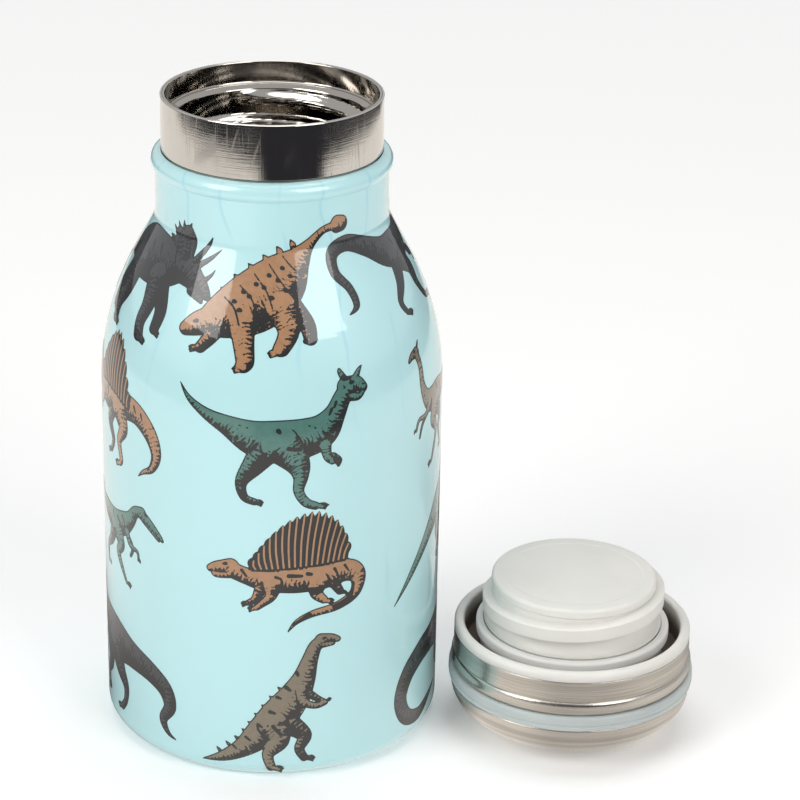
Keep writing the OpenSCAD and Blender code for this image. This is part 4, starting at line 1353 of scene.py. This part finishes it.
def low_sailback():
    """A low, sprawling sail-back that faces left and curls its tail under to the left."""
    feet = [(-7.6 + 1.12 * k, 0.8 + 0.06 * k) for k in range(17)]
    heights = [2.2, 3.8, 5.4, 7.0, 8.4, 9.6, 10.6, 11.3, 11.8, 12.0, 11.9, 11.4, 10.6, 9.4, 7.9, 6.0, 3.6]
    web, black, ribs = sail(feet, heights, lambda x: 2 + 1.5 * x)
    return {
        "far": [
            [(-6.4, -2.6, 1.4), (-7.6, -5.4, 0.9), (-9, -6.4, 0.7)], *toes(-9, -6.6, -1.6, 3, 0.3),
            [(8.2, -2.8, 1.2), (9.6, -5, 0.9)], *toes(9.8, -5.6, 1.4, 2, 0.3),
        ],
        "body": [
            *web,
            [(-12.6, 0.8, 1.9), (-9.6, -0.4, 1.9), (-5.6, -1.2, 2.5), (0, -1.4, 2.9), (6, -1.2, 2.8),
             (11, -0.6, 2.5), (13.6, -2.4, 1.9), (13, -6, 1.3), (9.2, -8.2, 1), (4, -9.2, 0.8),
             (0.6, -10.8, 0.55), (-1.2, -13, 0.12)],
            [(-12.6, 1.4, 1.8), (-15.4, 0.9, 1.35), (-16.8, 0.5, 0.9)],
            [(-12.8, -0.2, 1.1), (-15.4, -0.8, 0.7), (-16.2, -0.6, 0.5)],
        ],
        "near": [
            [(-4.2, -2.2, 1.9), (-4.6, -4.8, 1.2), (-6.4, -6.6, 0.8), (-7.4, -7.4, 0.7)],
            *toes(-7.4, -7.6, -1.9, 3, 0.35), [(5.2, -2.2, 2), (4.6, -4.6, 1.4), (6.2, -6.4, 0.9)],
            *toes(6.4, -6.8, 2, 3, 0.35),
        ],
        "marks": [
            [(-13.6, 1.9, 0.36), (-14.1, 1.8, 0.22)],
            [(-13.4, 0, 0.14), (-15.4, -0.1, 0.12), (-17.2, 0, 0.08)],
            [(-10.4, 0.8, 0.3), (-9.4, -0.6, 0.2)], [(-1, -0.4, 0.42), (1.6, -0.6, 0.3)],
            [(2.8, -0.2, 0.4), (3.6, -0.4, 0.3)], [(-3.6, -0.6, 0.3), (-2.6, -1, 0.2)],
            [(8.4, 0.2, 0.3), (9.2, -1.4, 0.16)], [(10.6, 0.6, 0.26), (11.6, -1, 0.15)],
            [(12.4, -4, 0.5), (11.6, -7, 0.6), (8.6, -8.4, 0.6)], [(3.2, -9.4, 0.5), (0, -11.4, 0.3)],
        ],
        "black": [*black, [(-4, -3.9, 0.7), (1, -4.3, 0.9), (6, -4, 0.8)]],
        "bare": ribs,
    }


def tall_sailback():
    """A tall two-legged sail-back that faces left, its long tail hanging down on the right."""
    feet = [(-6.4 + 1.15 * k, 2.8 - 0.02 * k * k) for k in range(12)]
    heights = [3.0, 5.6, 8.0, 10.0, 11.4, 12.2, 12.4, 11.8, 10.4, 8.4, 5.8, 3.2]
    web, black, ribs = sail(feet, heights, lambda x: 1.2 * x)
    return {
        "far": [
            [(0.2, -1.4, 2), (-1.6, -5.2, 1.3), (0, -8.6, 0.8), (-1.2, -11.4, 0.6)],
            *toes(-1.2, -11.6, -1.8, 3, 0.3), [(-7.2, -1, 0.9), (-9.4, -3.2, 0.6), (-9, -5, 0.4)],
        ],
        "body": [
            *web,
            [(9.8, -13.2, 0.1), (11.4, -11.8, 0.5), (14, -10.2, 0.9), (15.2, -6.8, 1.4), (13.6, -2.8, 2),
             (9.8, 0.2, 2.5), (4.8, 0.8, 3.1), (-0.8, 0.6, 3.7), (-6, 1.4, 3.2), (-9.6, 3.4, 2.1),
             (-12, 6.2, 1.5)], [(-12, 6.9, 1.5), (-15.2, 6, 1), (-18.2, 4.8, 0.7)],
            [(-12.6, 5.6, 0.8), (-15.4, 4.6, 0.5), (-17.8, 3.8, 0.35)],
        ],
        "near": [
            [(2.8, -0.8, 2.9), (4.6, -4.6, 1.8), (2.8, -8, 1), (3.6, -11.8, 0.75), (3, -12.8, 0.7)],
            *toes(3, -13, -2.2), [(-6.2, -0.4, 1.1), (-7.8, -3, 0.8), (-10.4, -4, 0.55)],
            *toes(-10.4, -4.2, -1, 2, 0.28),
        ],
        "marks": [
            [(-13, 7.4, 0.32), (-13.4, 7.3, 0.2)],
            [(-13, 5.8, 0.12), (-15.6, 5, 0.1), (-18.6, 4.2, 0.08)], [(6.4, 2.2, 0.3), (7, 0.6, 0.14)],
            [(8.8, 1.6, 0.28), (9.4, 0.2, 0.14)], [(11, 0.6, 0.26), (11.4, -0.8, 0.12)],
            [(-3, 1.8, 0.3), (-2.4, 0.4, 0.14)],
        ],
        "black": [*black, [(12.4, -4.4, 0.8), (13.6, -7.6, 0.8), (12.8, -10.4, 0.5)]],
        "bare": ribs,
    }


count_strokes(low_sailback, tall_sailback)

# %% [markdown]
# The last three are told by their tails. The radius in each stroke does the
# work here: it falls steadily from the hips to almost nothing at the tip.

# %% Long tails
def whip_tail():
    """A lean hunter that runs right, its tail arching up behind and curling down to the left."""
    return {
        "far": [
            [(2, 0.6, 2.2), (0.4, -3.8, 1.4), (-1.8, -7.4, 0.8), (-0.8, -10, 0.6)],
            *toes(-0.8, -10.2, 1.8), [(11, 0, 0.7), (12.8, -1.8, 0.5), (12.4, -3.4, 0.35)],
        ],
        "body": [
            [(-14.6, -6.6, 0.1), (-12.6, -5, 0.7), (-13.2, -1.4, 0.9), (-15.6, 2.2, 1.1),
             (-15.2, 6, 1.4), (-11.2, 7.4, 1.7), (-6, 5.6, 2.2), (-0.6, 3, 3.2), (4.2, 2.4, 3.8),
             (8.6, 3.2, 3.2), (12, 5.6, 2.1), (14.2, 8.2, 1.8)],
            [(14, 8.8, 1.8), (16.8, 8.2, 1.3), (19, 7, 0.9)],
            [(14.6, 7.2, 0.9), (16.8, 6, 0.6), (18.2, 5.6, 0.4)],
        ],
        "near": [
            [(3.4, 1, 3.2), (6.6, -2.6, 2), (6.8, -6.4, 1.1), (8.6, -9.8, 0.8), (10.2, -10.6, 0.7)],
            *toes(10.2, -10.8, 2.4), [(9.8, 1, 1), (10.8, -1.2, 0.75), (12.8, -1.6, 0.5)],
        ],
        "marks": [
            [(15, 9.6, 0.34), (15.4, 9.5, 0.22)], [(15, 7.4, 0.12), (17.2, 6.9, 0.1), (19.6, 6.3, 0.08)],
            [(-3.6, 5.6, 0.26), (-3, 3.8, 0.13)], [(-6, 6.6, 0.26), (-5.6, 5, 0.13)],
            [(-8.6, 7.4, 0.24), (-8.6, 5.8, 0.12)], [(3.4, 4.6, 0.3), (4.2, 3, 0.14)],
            [(6.4, 4.6, 0.3), (7, 3, 0.14)],
        ],
    }


def straight_tail():
    """A two-legged grazer that climbs to the right, its straight tail trailing to the lower left."""
    return {
        "far": [
            [(3.6, -0.6, 2.2), (1.6, -4.4, 1.4), (2.6, -8, 0.8), (1.6, -10.6, 0.6)],
            *toes(1.6, -10.8, 1.7), [(9.6, 2, 0.8), (12, 0.2, 0.55), (12.6, -1.6, 0.4)],
        ],
        "body": [
            [(-17.6, -14.6, 0.1), (-12.8, -9.8, 0.8), (-8, -5.4, 1.4), (-3.4, -1.8, 2.2),
             (1.6, 1.4, 3.3), (6.2, 3.8, 3.4), (9.6, 6.4, 2.4), (11.4, 9.8, 1.5), (13.2, 12, 1.4)],
            [(13, 12.4, 1.4), (15.4, 11.8, 1), (17.2, 10.8, 0.6)],
            [(13.6, 11.2, 0.7), (15.6, 10.4, 0.45)],
        ],
        "near": [
            [(3, 0.4, 2.9), (6.2, -3, 1.9), (5.4, -6.8, 1), (7.4, -10.4, 0.75), (8.6, -11.4, 0.7)],
            *toes(8.6, -11.6, 2.2), [(8.4, 3, 1), (9.8, 0.6, 0.75), (12, 0.4, 0.5)],
        ],
        "marks": [
            [(14, 12.9, 0.3), (14.4, 12.8, 0.2)], [(14.2, 11.4, 0.1), (16.8, 10.7, 0.08)],
            [(0.4, 2.4, 0.28), (1.4, 0.8, 0.14)], [(3.6, 4.2, 0.3), (4.6, 2.6, 0.14)],
            [(-3, -0.4, 0.24), (-2, -1.6, 0.12)], [(6.8, 5.8, 0.28), (7.6, 4.4, 0.14)],
        ],
    }


def ring_tail():
    """A dark hunter with its head high at the right, and a heavy tail that rings round under it."""
    return {
        "far": [
            [(6.4, 0.2, 2.6), (4.6, -3.6, 1.7), (6.2, -6.8, 0.9)], *toes(6.4, -7.2, 1.6),
            [(12.6, 3.2, 0.8), (14.6, 1.4, 0.5), (14.4, -0.2, 0.35)],
        ],
        "body": [
            [(2.8, -9.4, 0.12), (-2.2, -11, 0.9), (-7.6, -12.6, 1.5), (-12.4, -11, 1.9),
             (-14.4, -6.2, 2.1), (-12, -1.2, 2.5), (-6.8, 1.8, 2.9), (-0.8, 2.8, 3.4), (5, 3.4, 4.4),
             (10, 5, 3.8), (13.4, 8, 2.5), (15.2, 10.6, 2)],
            [(15, 11.2, 2), (17.8, 10.8, 1.5), (20, 9.6, 1)],
            [(15.6, 9.8, 1), (18, 8.6, 0.7), (19.4, 8.2, 0.45)],
        ],
        "near": [
            [(6.8, 1.8, 3.6), (9.8, -2.2, 2.2), (9.4, -6.2, 1.2), (11.2, -9.6, 0.9), (12.6, -10.4, 0.8)],
            *toes(12.6, -10.6, 2.5), [(12, 3.4, 1.1), (12.8, 1.2, 0.8), (14.8, 0.8, 0.55)],
        ],
        "marks": [
            [(16, 12, 0.34), (16.4, 11.9, 0.22)], [(16, 9.9, 0.13), (18.4, 9.3, 0.1), (20.6, 8.8, 0.08)],
            [(-3.6, 4, 0.28), (-3, 2.2, 0.14)], [(-7, 3.4, 0.28), (-6.6, 1.6, 0.14)],
            [(-10.4, 1.6, 0.28), (-9.6, 0.2, 0.14)], [(-13.4, -1.8, 0.26), (-12, -2.8, 0.14)],
            [(2.2, 5.4, 0.3), (3, 3.8, 0.14)], [(6.6, 6.4, 0.3), (7.4, 4.6, 0.14)],
        ],
    }


count_strokes(whip_tail, straight_tail, ring_tail)

# %% [markdown]
# A grid cell that lies wholly inside the outline becomes a square face. A cell
# that the outline crosses is cut where the distance passes zero, which is the
# marching-squares rule, so the edge of the print is smooth and not stepped.

# %% Turn the fields into a flat mesh
def flat_figure(name, animal):
    x, y, outside, fields = animal_fields(animal)
    rows, columns = x.shape
    values = {key: field.ravel() for key, field in fields.items()}
    inside = outside.ravel() < 0
    px, py, pd = x.ravel(), y.ravel(), outside.ravel()
    places, kept, index, cuts, faces = [], {key: [] for key in values}, {}, {}, []

    def corner(i):
        if i not in index:
            index[i] = len(places)
            places.append((px[i], py[i], 0))
            for key in kept:
                kept[key].append(values[key][i])
        return index[i]

    def cut(i, j):
        pair = (min(i, j), max(i, j))
        if pair not in cuts:
            t = pd[i] / (pd[i] - pd[j])
            cuts[pair] = len(places)
            places.append((px[i] + t * (px[j] - px[i]), py[i] + t * (py[j] - py[i]), 0))
            for key in kept:
                kept[key].append(values[key][i] + t * (values[key][j] - values[key][i]))
            kept["inside"][-1] = 0.0
        return cuts[pair]

    grid = np.arange(rows * columns).reshape(rows, columns)
    corners = np.stack([grid[:-1, :-1], grid[1:, :-1], grid[1:, 1:], grid[:-1, 1:]], -1).reshape(-1, 4)
    for cell in corners[inside[corners].any(1)]:
        face = []
        for a, b in zip(cell, np.roll(cell, -1)):
            if inside[a]:
                face.append(corner(a))
            if inside[a] != inside[b]:
                face.append(cut(a, b))
        if len(face) > 2:
            faces.append(face)
    mesh = bpy.data.meshes.new(name)
    mesh.from_pydata(places, [], faces)
    for key, listed in kept.items():
        store(mesh, key, listed)
    return bpy.data.objects.new(name, mesh)


# %% [markdown]
# Black line and hatching are the same in every ink, so they are one shader
# group. It draws the outline where "inside" is small, hatches across the limb
# where the form is dark, fills it solid where it is darkest, and lets the light
# strokes through. A little noise makes each line swell and break like one cut
# by hand. The group puts out a colour and a mask; the gloss coat stays in the
# material, the same as on the paint, because the whole bottle is lacquered.

# %% Engraved ink
def ink_group():
    tree, enter, leave = new_tree("ShaderNodeTree", "engraved ink", [
        ("Ink", COLOUR, (0.3, 0.3, 0.3, 1)), ("Black", COLOUR, (0.012, 0.012, 0.013, 1)),
        ("Line", FLOAT, 0.17), ("Hatch", FLOAT, 0.85), ("Depth", FLOAT, 0.0),
    ], [("Color", COLOUR), ("Mask", FLOAT)])
    read = {key: add(tree, "ShaderNodeAttribute", attribute_name=key).outputs["Fac"]
            for key in ("inside", "shade", "along", "mark", "bare")}
    place = object_place(tree)
    rag = noise(tree, place, 1500.0, 2.0, 0.6)
    wave = noise(tree, place, 480.0, 1.0)
    line_swell, mark_swell = 0.16, 0.10
    line = less(read["inside"], plus(enter["Line"], times(rag, line_swell)))
    mark = less(read["mark"], times(rag, mark_swell))
    dark = plus(read["shade"], minus(rag, 0.5))
    dark = plus(dark, enter["Depth"])
    # Hatching starts at one darkness, widens by a gain, and closes to solid black
    hatch_from, hatch_gain, solid_from, waver = 0.60, 2.2, 0.96, 1.8
    step = plus(over(read["along"], enter["Hatch"]), times(wave, waver))
    comb = times(maths(tree, "ABSOLUTE", minus(maths(tree, "FRACT", step), 0.5)), 2.0)
    width = maths(tree, "MULTIPLY", minus(dark, hatch_from), hatch_gain, clamp=True)
    hatch = less(comb, width)
    solid = more(dark, solid_from)
    black = most(line, mark, most(hatch, solid))
    bare = times(less(read["bare"], 0.05), more(read["inside"], 0.1))
    black = times(black, minus(1.0, bare))
    worn = times(spread(tree, noise(tree, place, 900.0, 2.0), 0.35, 0.7), 0.12)
    faded = mix(tree, worn, enter["Ink"], enter["Black"])
    tree.links.new(mix(tree, black, faded, enter["Black"]), leave["Color"])
    tree.links.new(black, leave["Mask"])
    return tree


INK = ink_group()
print("shader group", INK.name, "with", len(INK.nodes), "nodes")


def printed(name, colour, depth):
    material, tree, shader = finish(name, Coat_Weight=1.0, Coat_Roughness=0.03, IOR=1.5)
    drawn = place_group(tree, INK, {"Ink": (*colour, 1), "Depth": depth})
    ink_rough, black_rougher = 0.38, 0.12
    matt = plus(ink_rough, times(drawn["Mask"], black_rougher))
    wire(tree, shader, drawn["Color"], matt, noise(tree, object_place(tree), 420.0, 2.0),
         depth=0.00004, strength=0.25, coat=True)
    return material


INKS = {"brown": printed("ink_brown", (0.42, 0.225, 0.115), 0.06),
        "teal": printed("ink_teal", (0.075, 0.205, 0.175), 0.10),
        "slate": printed("ink_slate", (0.042, 0.044, 0.050), 0.30),
        "taupe": printed("ink_taupe", (0.215, 0.175, 0.122), 0.06)}
print("inks:", list(INKS))

# %% [markdown]
# The layout is four rows of five or six animals, with each animal placed by its
# middle: the angle round the bottle from the front, in degrees, and the distance
# up the side, in millimetres, measured along the surface as a tape would be.
# Neighbours in a row never share an ink.

# %% Lay out the pattern
LAYOUT = [
    # ink, animal, angle, distance up the side
    ("slate", three_horned, -59, 104.5), ("brown", armoured_clubtail, -4, 104.5),
    ("slate", whip_tail, 61, 106), ("teal", straight_tail, 128, 101),
    ("taupe", fast_runner, 196, 102), ("brown", low_sailback, -122, 101),
    ("brown", tall_sailback, -66, 76), ("teal", horned_hunter, 0, 75.5), ("taupe", fast_runner, 68, 75),
    ("slate", big_tail, 137, 74), ("teal", slim_raptor, 209, 75),
    ("teal", slim_raptor, -66, 48), ("brown", low_sailback, 7, 47), ("teal", straight_tail, 74, 49),
    ("brown", armoured_clubtail, 143, 46), ("slate", three_horned, 214, 46),
    ("slate", big_tail, -63, 19.5), ("taupe", upright_grazer, 3.5, 18.5), ("slate", ring_tail, 73, 18),
    ("brown", tall_sailback, 142, 18), ("teal", horned_hunter, 212, 18.5),
]
print("animals in each ink:", {ink: sum(row[0] == ink for row in LAYOUT) for ink in INKS})


# %% [markdown]
# The second Geometry Nodes tree wraps the flat print. It puts an instance of the
# right animal at each point of the unrolled layout, makes the instances real,
# and then bends the sheet: the distance up the side follows the straight wall,
# then the shoulder's arc, its short cone and the hollow curve above it, and the
# sideways distance becomes an angle. Last, the film gets its thickness, so that
# it is a closed solid.

# %% Geometry Nodes tree: wrapped print
COLLECTION = "NodeSocketCollection"


def wrap_tree():
    tree, enter, leave = new_tree("GeometryNodeTree", "wrapped print", [
        ("Layout", GEOMETRY, None), ("Figures", COLLECTION, None),
        ("Body Radius", FLOAT, 0.03), ("Straight Height", FLOAT, 0.07), ("Shoulder Radius", FLOAT, 0.05),
        ("Lean", FLOAT, 0.4), ("Cone Length", FLOAT, 0.0), ("Hollow Radius", FLOAT, 0.003),
        ("Sunk", FLOAT, 0.00001), ("Film", FLOAT, 0.00004), ("Material", MATERIAL, None),
    ], [("Print", GEOMETRY)])

    def named(name, kind="FLOAT"):
        return add(tree, "GeometryNodeInputNamedAttribute", {"Name": name}, data_type=kind).outputs[0]

    figures = add(tree, "GeometryNodeCollectionInfo",
                  {"Collection": enter["Figures"], "Separate Children": True,
                   "Reset Children": True}).outputs[0]
    made = add(tree, "GeometryNodeInstanceOnPoints", {
        "Points": enter["Layout"], "Instance": figures, "Pick Instance": True,
        "Instance Index": named("figure", "INT")}).outputs[0]
    made = add(tree, "GeometryNodeRealizeInstances", {0: made}).outputs[0]
    at = add(tree, "ShaderNodeSeparateXYZ", {0: add(tree, "GeometryNodeInputPosition").outputs[0]}).outputs
    past = most(minus(at["Y"], enter["Straight Height"]), 0.0)
    bend = least(over(past, enter["Shoulder Radius"]), enter["Lean"])
    beyond = minus(past, times(bend, enter["Shoulder Radius"]))
    cone = least(beyond, enter["Cone Length"])
    beyond = minus(beyond, cone)
    rise = least(over(beyond, enter["Hollow Radius"]), enter["Lean"])
    upright = minus(beyond, times(rise, enter["Hollow Radius"]))
    left_lean = minus(enter["Lean"], rise)
    hollow = plus(enter["Hollow Radius"], enter["Sunk"])
    cosine, sine = maths(tree, "COSINE", bend), maths(tree, "SINE", bend)
    swell = minus(enter["Shoulder Radius"], enter["Sunk"])
    radius = minus(enter["Body Radius"], enter["Shoulder Radius"])
    radius = plus(radius, times(swell, cosine))
    radius = minus(radius, times(cone, sine))
    height = plus(least(at["Y"], enter["Straight Height"]), times(swell, sine))
    height = plus(height, times(cone, cosine))
    # Up the hollow curve, the surface swings back from its lean to upright
    drawn_in = minus(maths(tree, "COSINE", left_lean), maths(tree, "COSINE", enter["Lean"]))
    radius = minus(radius, times(hollow, drawn_in))
    climbed = minus(maths(tree, "SINE", enter["Lean"]), maths(tree, "SINE", left_lean))
    height = plus(height, times(hollow, climbed))
    height = plus(height, upright)
    angle = over(at["X"], named("reach"))
    wrapped = add(tree, "ShaderNodeCombineXYZ", {
        "X": times(radius, maths(tree, "SINE", angle)),
        "Y": times(radius, maths(tree, "COSINE", angle), -1.0),
        "Z": height}).outputs[0]
    made = add(tree, "GeometryNodeSetPosition", {0: made, "Position": wrapped}).outputs[0]
    top = add(tree, "GeometryNodeExtrudeMesh",
              {"Mesh": made, "Offset Scale": enter["Film"], "Individual": False}, mode="FACES").outputs[0]
    under = add(tree, "GeometryNodeFlipFaces", {0: made}).outputs[0]
    film = tree.nodes.new("GeometryNodeJoinGeometry")
    tree.links.new(top, film.inputs[0])
    tree.links.new(under, film.inputs[0])
    made = add(tree, "GeometryNodeMergeByDistance", {0: film.outputs[0], "Distance": 1e-7}).outputs[0]
    crease = add(tree, "GeometryNodeInputMeshEdgeAngle").outputs[0]
    sharp = 0.7
    tree.links.new(finished(tree, made, less(crease, sharp), enter["Material"]), leave["Print"])
    return tree


WRAP = wrap_tree()
print("tree", WRAP.name, "with", len(WRAP.nodes), "nodes")


# %% [markdown]
# The print is made one ink at a time, and each ink is one film. An animal's
# angle becomes a length at its own height, so it keeps its width where the
# bottle narrows.

# %% Print each ink
def surface_radius(up):
    """The bottle's radius at a distance up its side."""
    past = max(0.0, up - body_h)
    bend = min(past / shoulder_r, shoulder_lean)
    return (body_r - shoulder_r * (1 - math.cos(bend))
            - (past - bend * shoulder_r) * math.sin(shoulder_lean))


def print_ink(ink):
    """Draws every animal of one ink and wraps them all round the bottle as one film."""
    placed = [row[1:] for row in LAYOUT if row[0] == ink]
    kinds = sorted({animal for animal, _, _ in placed}, key=lambda animal: animal.__name__)
    figures = bpy.data.collections.new("figures_" + ink)
    for animal in kinds:
        flat = flat_figure(animal.__name__, animal())
        flat.data.transform(Matrix.Scale(MM, 4))
        figures.objects.link(flat)
    points = bpy.data.meshes.new("layout_" + ink)
    reaches = [surface_radius(up * MM) for _, _, up in placed]
    points.from_pydata([(math.radians(angle) * reach, up * MM, 0)
                        for (_, angle, up), reach in zip(placed, reaches)], [], [])
    store(points, "reach", reaches)
    store(points, "figure", [kinds.index(animal) for animal, _, _ in placed], "INT")
    piece = grow("print_" + ink, points, WRAP, {
        "Figures": figures, "Body Radius": body_r, "Straight Height": body_h,
        "Shoulder Radius": shoulder_r, "Lean": shoulder_lean, "Cone Length": cone_len,
        "Hollow Radius": groove_fillet_r, "Material": INKS[ink]})
    for flat in list(figures.objects):
        bpy.data.objects.remove(flat)
    bpy.data.collections.remove(figures)
    return piece


for ink in INKS:
    film = print_ink(ink)
    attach(film, "bottle")

# %% [markdown]
# ## Floor and light
# Polished metal shows its surroundings more than itself, so the studio matters
# as much as the finish. The floor is pale. In reflections only, it ends in a
# dark room in front, which is what puts the dark band in the middle of the
# collar. Two large soft boxes at the sides and one overhead do the lighting.

# %% Pale floor
floor_mesh = bpy.data.meshes.new("floor")
floor_half = 6.0
floor_mesh.from_pydata([(-floor_half, -floor_half, 0), (floor_half, -floor_half, 0),
                        (floor_half, floor_half, 0), (-floor_half, floor_half, 0)], [], [(0, 1, 2, 3)])
floor = bpy.data.objects.new("floor", floor_mesh)
scene.collection.objects.link(floor)
print("floor:", 2 * floor_half, "m across")


def floor_finish():
    material = bpy.data.materials.new("pale_floor")
    material.use_nodes = True
    tree = material.node_tree
    tree.nodes.clear()
    place = object_place(tree)
    at = add(tree, "ShaderNodeSeparateXYZ", {0: place}).outputs
    pale = add(tree, "ShaderNodeBsdfDiffuse", {"Color": (0.93, 0.93, 0.93, 1)}).outputs[0]
    far = add(tree, "ShaderNodeVectorMath", {0: place}, operation="LENGTH").outputs["Value"]
    lift = add(tree, "ShaderNodeEmission",
               {"Color": (1, 1, 1, 1), "Strength": spread(tree, far, 0.2, 1.4, 0.17, 0.55)}).outputs[0]
    pale = add(tree, "ShaderNodeAddShader", {0: pale, 1: lift}).outputs[0]
    heading = maths(tree, "ARCTAN2", at["X"], times(at["Y"], -1.0))
    # The collar mirrors a ring of floor, with its foot near us and its rim far off. The dark is a
    # ragged wedge that widens across that ring, and beyond the ring all is dark.
    wedge_heading, wedge_narrow, wedge_wide = 0.35, 0.60, 2.3
    wedge_from, far_room = (0.2, 0.28), (0.46, 0.52)
    turned = maths(tree, "ABSOLUTE", minus(heading, wedge_heading))
    grain = add(tree, "ShaderNodeCombineXYZ", {"X": times(turned, 4.0), "Y": times(far, 420.0)}).outputs[0]
    ragged = times(minus(noise(tree, grain, 1.0, 3.0, 0.7), 0.5), 0.9)
    reach = plus(spread(tree, far, 0.395, 0.44, wedge_narrow, wedge_wide), ragged)
    dark = times(spread(tree, minus(reach, turned), -0.05, 0.12), spread(tree, far, *wedge_from))
    dark = most(dark, spread(tree, far, *far_room))
    # Round the cap the floor is lit in spokes, which brushed steel turns into upright bands
    cap_x = minus(at["X"], cap_axis.x)
    cap_y = minus(cap_axis.y, at["Y"])
    spoke = maths(tree, "MULTIPLY_ADD", maths(tree, "ARCTAN2", cap_x, cap_y), 0.5 / math.pi, 0.5)
    bands = tree.nodes.new("ShaderNodeValToRGB")
    ramp = bands.color_ramp
    for spot, level in ((0.0, 0.05), (0.24, 0.07), (0.31, 1.0), (0.39, 0.95), (0.46, 0.66), (0.56, 0.70),
                        (0.66, 0.92), (0.78, 0.80), (0.88, 0.28), (1.0, 0.1)):
        stop = ramp.elements.new(spot) if 0.0 < spot < 1.0 else ramp.elements[int(spot)]
        stop.color = (level, level, level, 1)
    tree.links.new(spoke, bands.inputs["Fac"])
    from_cap = maths(tree, "SQRT", plus(times(cap_x, cap_x), times(cap_y, cap_y)))
    near_cap = spread(tree, from_cap, 0.10, 0.16, 1.0, 0.0)
    dimmed = times(near_cap, minus(1.0, bands.outputs["Color"]))
    dark = most(dark, dimmed)
    light = mix(tree, dark, (0.93, 0.90, 0.85), (0.03, 0.03, 0.035))
    seen = add(tree, "ShaderNodeEmission", {"Color": light, "Strength": 1.0}).outputs[0]
    ray = add(tree, "ShaderNodeLightPath").outputs["Is Glossy Ray"]
    both = add(tree, "ShaderNodeMixShader", {0: ray, 1: pale, 2: seen}).outputs[0]
    out = tree.nodes.new("ShaderNodeOutputMaterial")
    tree.links.new(both, out.inputs["Surface"])
    return material


floor_mesh.materials.append(floor_finish())

# %% [markdown]
# The world is plain white where the camera looks straight at it. Everything
# else sees a soft grey room, brighter at the sides and above, and dark in front.

# %% World
world = bpy.data.worlds.new("studio")
scene.world = world
world.use_nodes = True
tree = world.node_tree
tree.nodes.clear()
way = add(tree, "ShaderNodeTexCoord").outputs["Generated"]
at = add(tree, "ShaderNodeSeparateXYZ", {0: way}).outputs
flat = maths(tree, "SQRT", plus(times(at["X"], at["X"]), times(at["Y"], at["Y"])))
facing = over(times(at["Y"], -1.0), most(flat, 0.001))
dark_front = times(spread(tree, facing, 0.55, 0.8), spread(tree, at["Z"], 0.75, 0.45))
room = mix(tree, dark_front, (0.62, 0.63, 0.64), (0.035, 0.036, 0.04))
ray = add(tree, "ShaderNodeLightPath").outputs
soft = add(tree, "ShaderNodeBackground", {"Color": (0.80, 0.81, 0.82, 1), "Strength": 0.25}).outputs[0]
studio = add(tree, "ShaderNodeBackground", {"Color": room, "Strength": 1.0}).outputs[0]
white = add(tree, "ShaderNodeBackground", {"Color": (1, 1, 1, 1), "Strength": 1.0}).outputs[0]
lit = add(tree, "ShaderNodeMixShader", {0: ray["Is Glossy Ray"], 1: soft, 2: studio}).outputs[0]
lit = add(tree, "ShaderNodeMixShader", {0: ray["Is Camera Ray"], 1: lit, 2: white}).outputs[0]
out = tree.nodes.new("ShaderNodeOutputWorld")
tree.links.new(lit, out.inputs["Surface"])
print("world:", world.name, "with", len(tree.nodes), "nodes")


# %% [markdown]
# A soft box is a large lamp. In metal its reflection is a broad stripe, where a
# small lamp would leave a dot. Each one is turned to face the middle of the group.

# %% Soft boxes
def soft_box(name, place, size, power, tint):
    """A rectangular lamp that faces the middle of the bottle."""
    data = bpy.data.lights.new(name, "AREA")
    data.shape = "RECTANGLE"
    data.size, data.size_y = size
    data.energy = power
    data.color = tint
    light = bpy.data.objects.new(name, data)
    light.location = place
    light.rotation_euler = (Vector(middle) - Vector(place)).to_track_quat("-Z", "Y").to_euler()
    scene.collection.objects.link(light)


middle = ((cad_low.x + cad_high.x) / 2, 0, rim_z / 2)
warm, white_light = (1.0, 0.985, 0.96), (1, 1, 1)
soft_box("left_box", (-0.78, -0.58, 0.75), (0.60, 0.75), 6.6, warm)
soft_box("right_box", (0.66, -0.78, 0.70), (0.62, 0.60), 5.2, warm)
soft_box("top_box", (0.05, 0.25, 1.15), (0.9, 0.7), 5.6, white_light)

# %% [markdown]
# Colours are shown as they are, without the film-like curve that Blender adds by
# default, because a product picture should keep its pale colours clean.

# %% Colour handling
scene.view_settings.view_transform = "Standard"
scene.view_settings.look = "None"
print("colours shown as:", scene.view_settings.view_transform)

# %% [markdown]
# ## The last update
# The view layer is updated once more, so that every piece stands in its place.

# %% Update the view layer
bpy.context.view_layer.update()
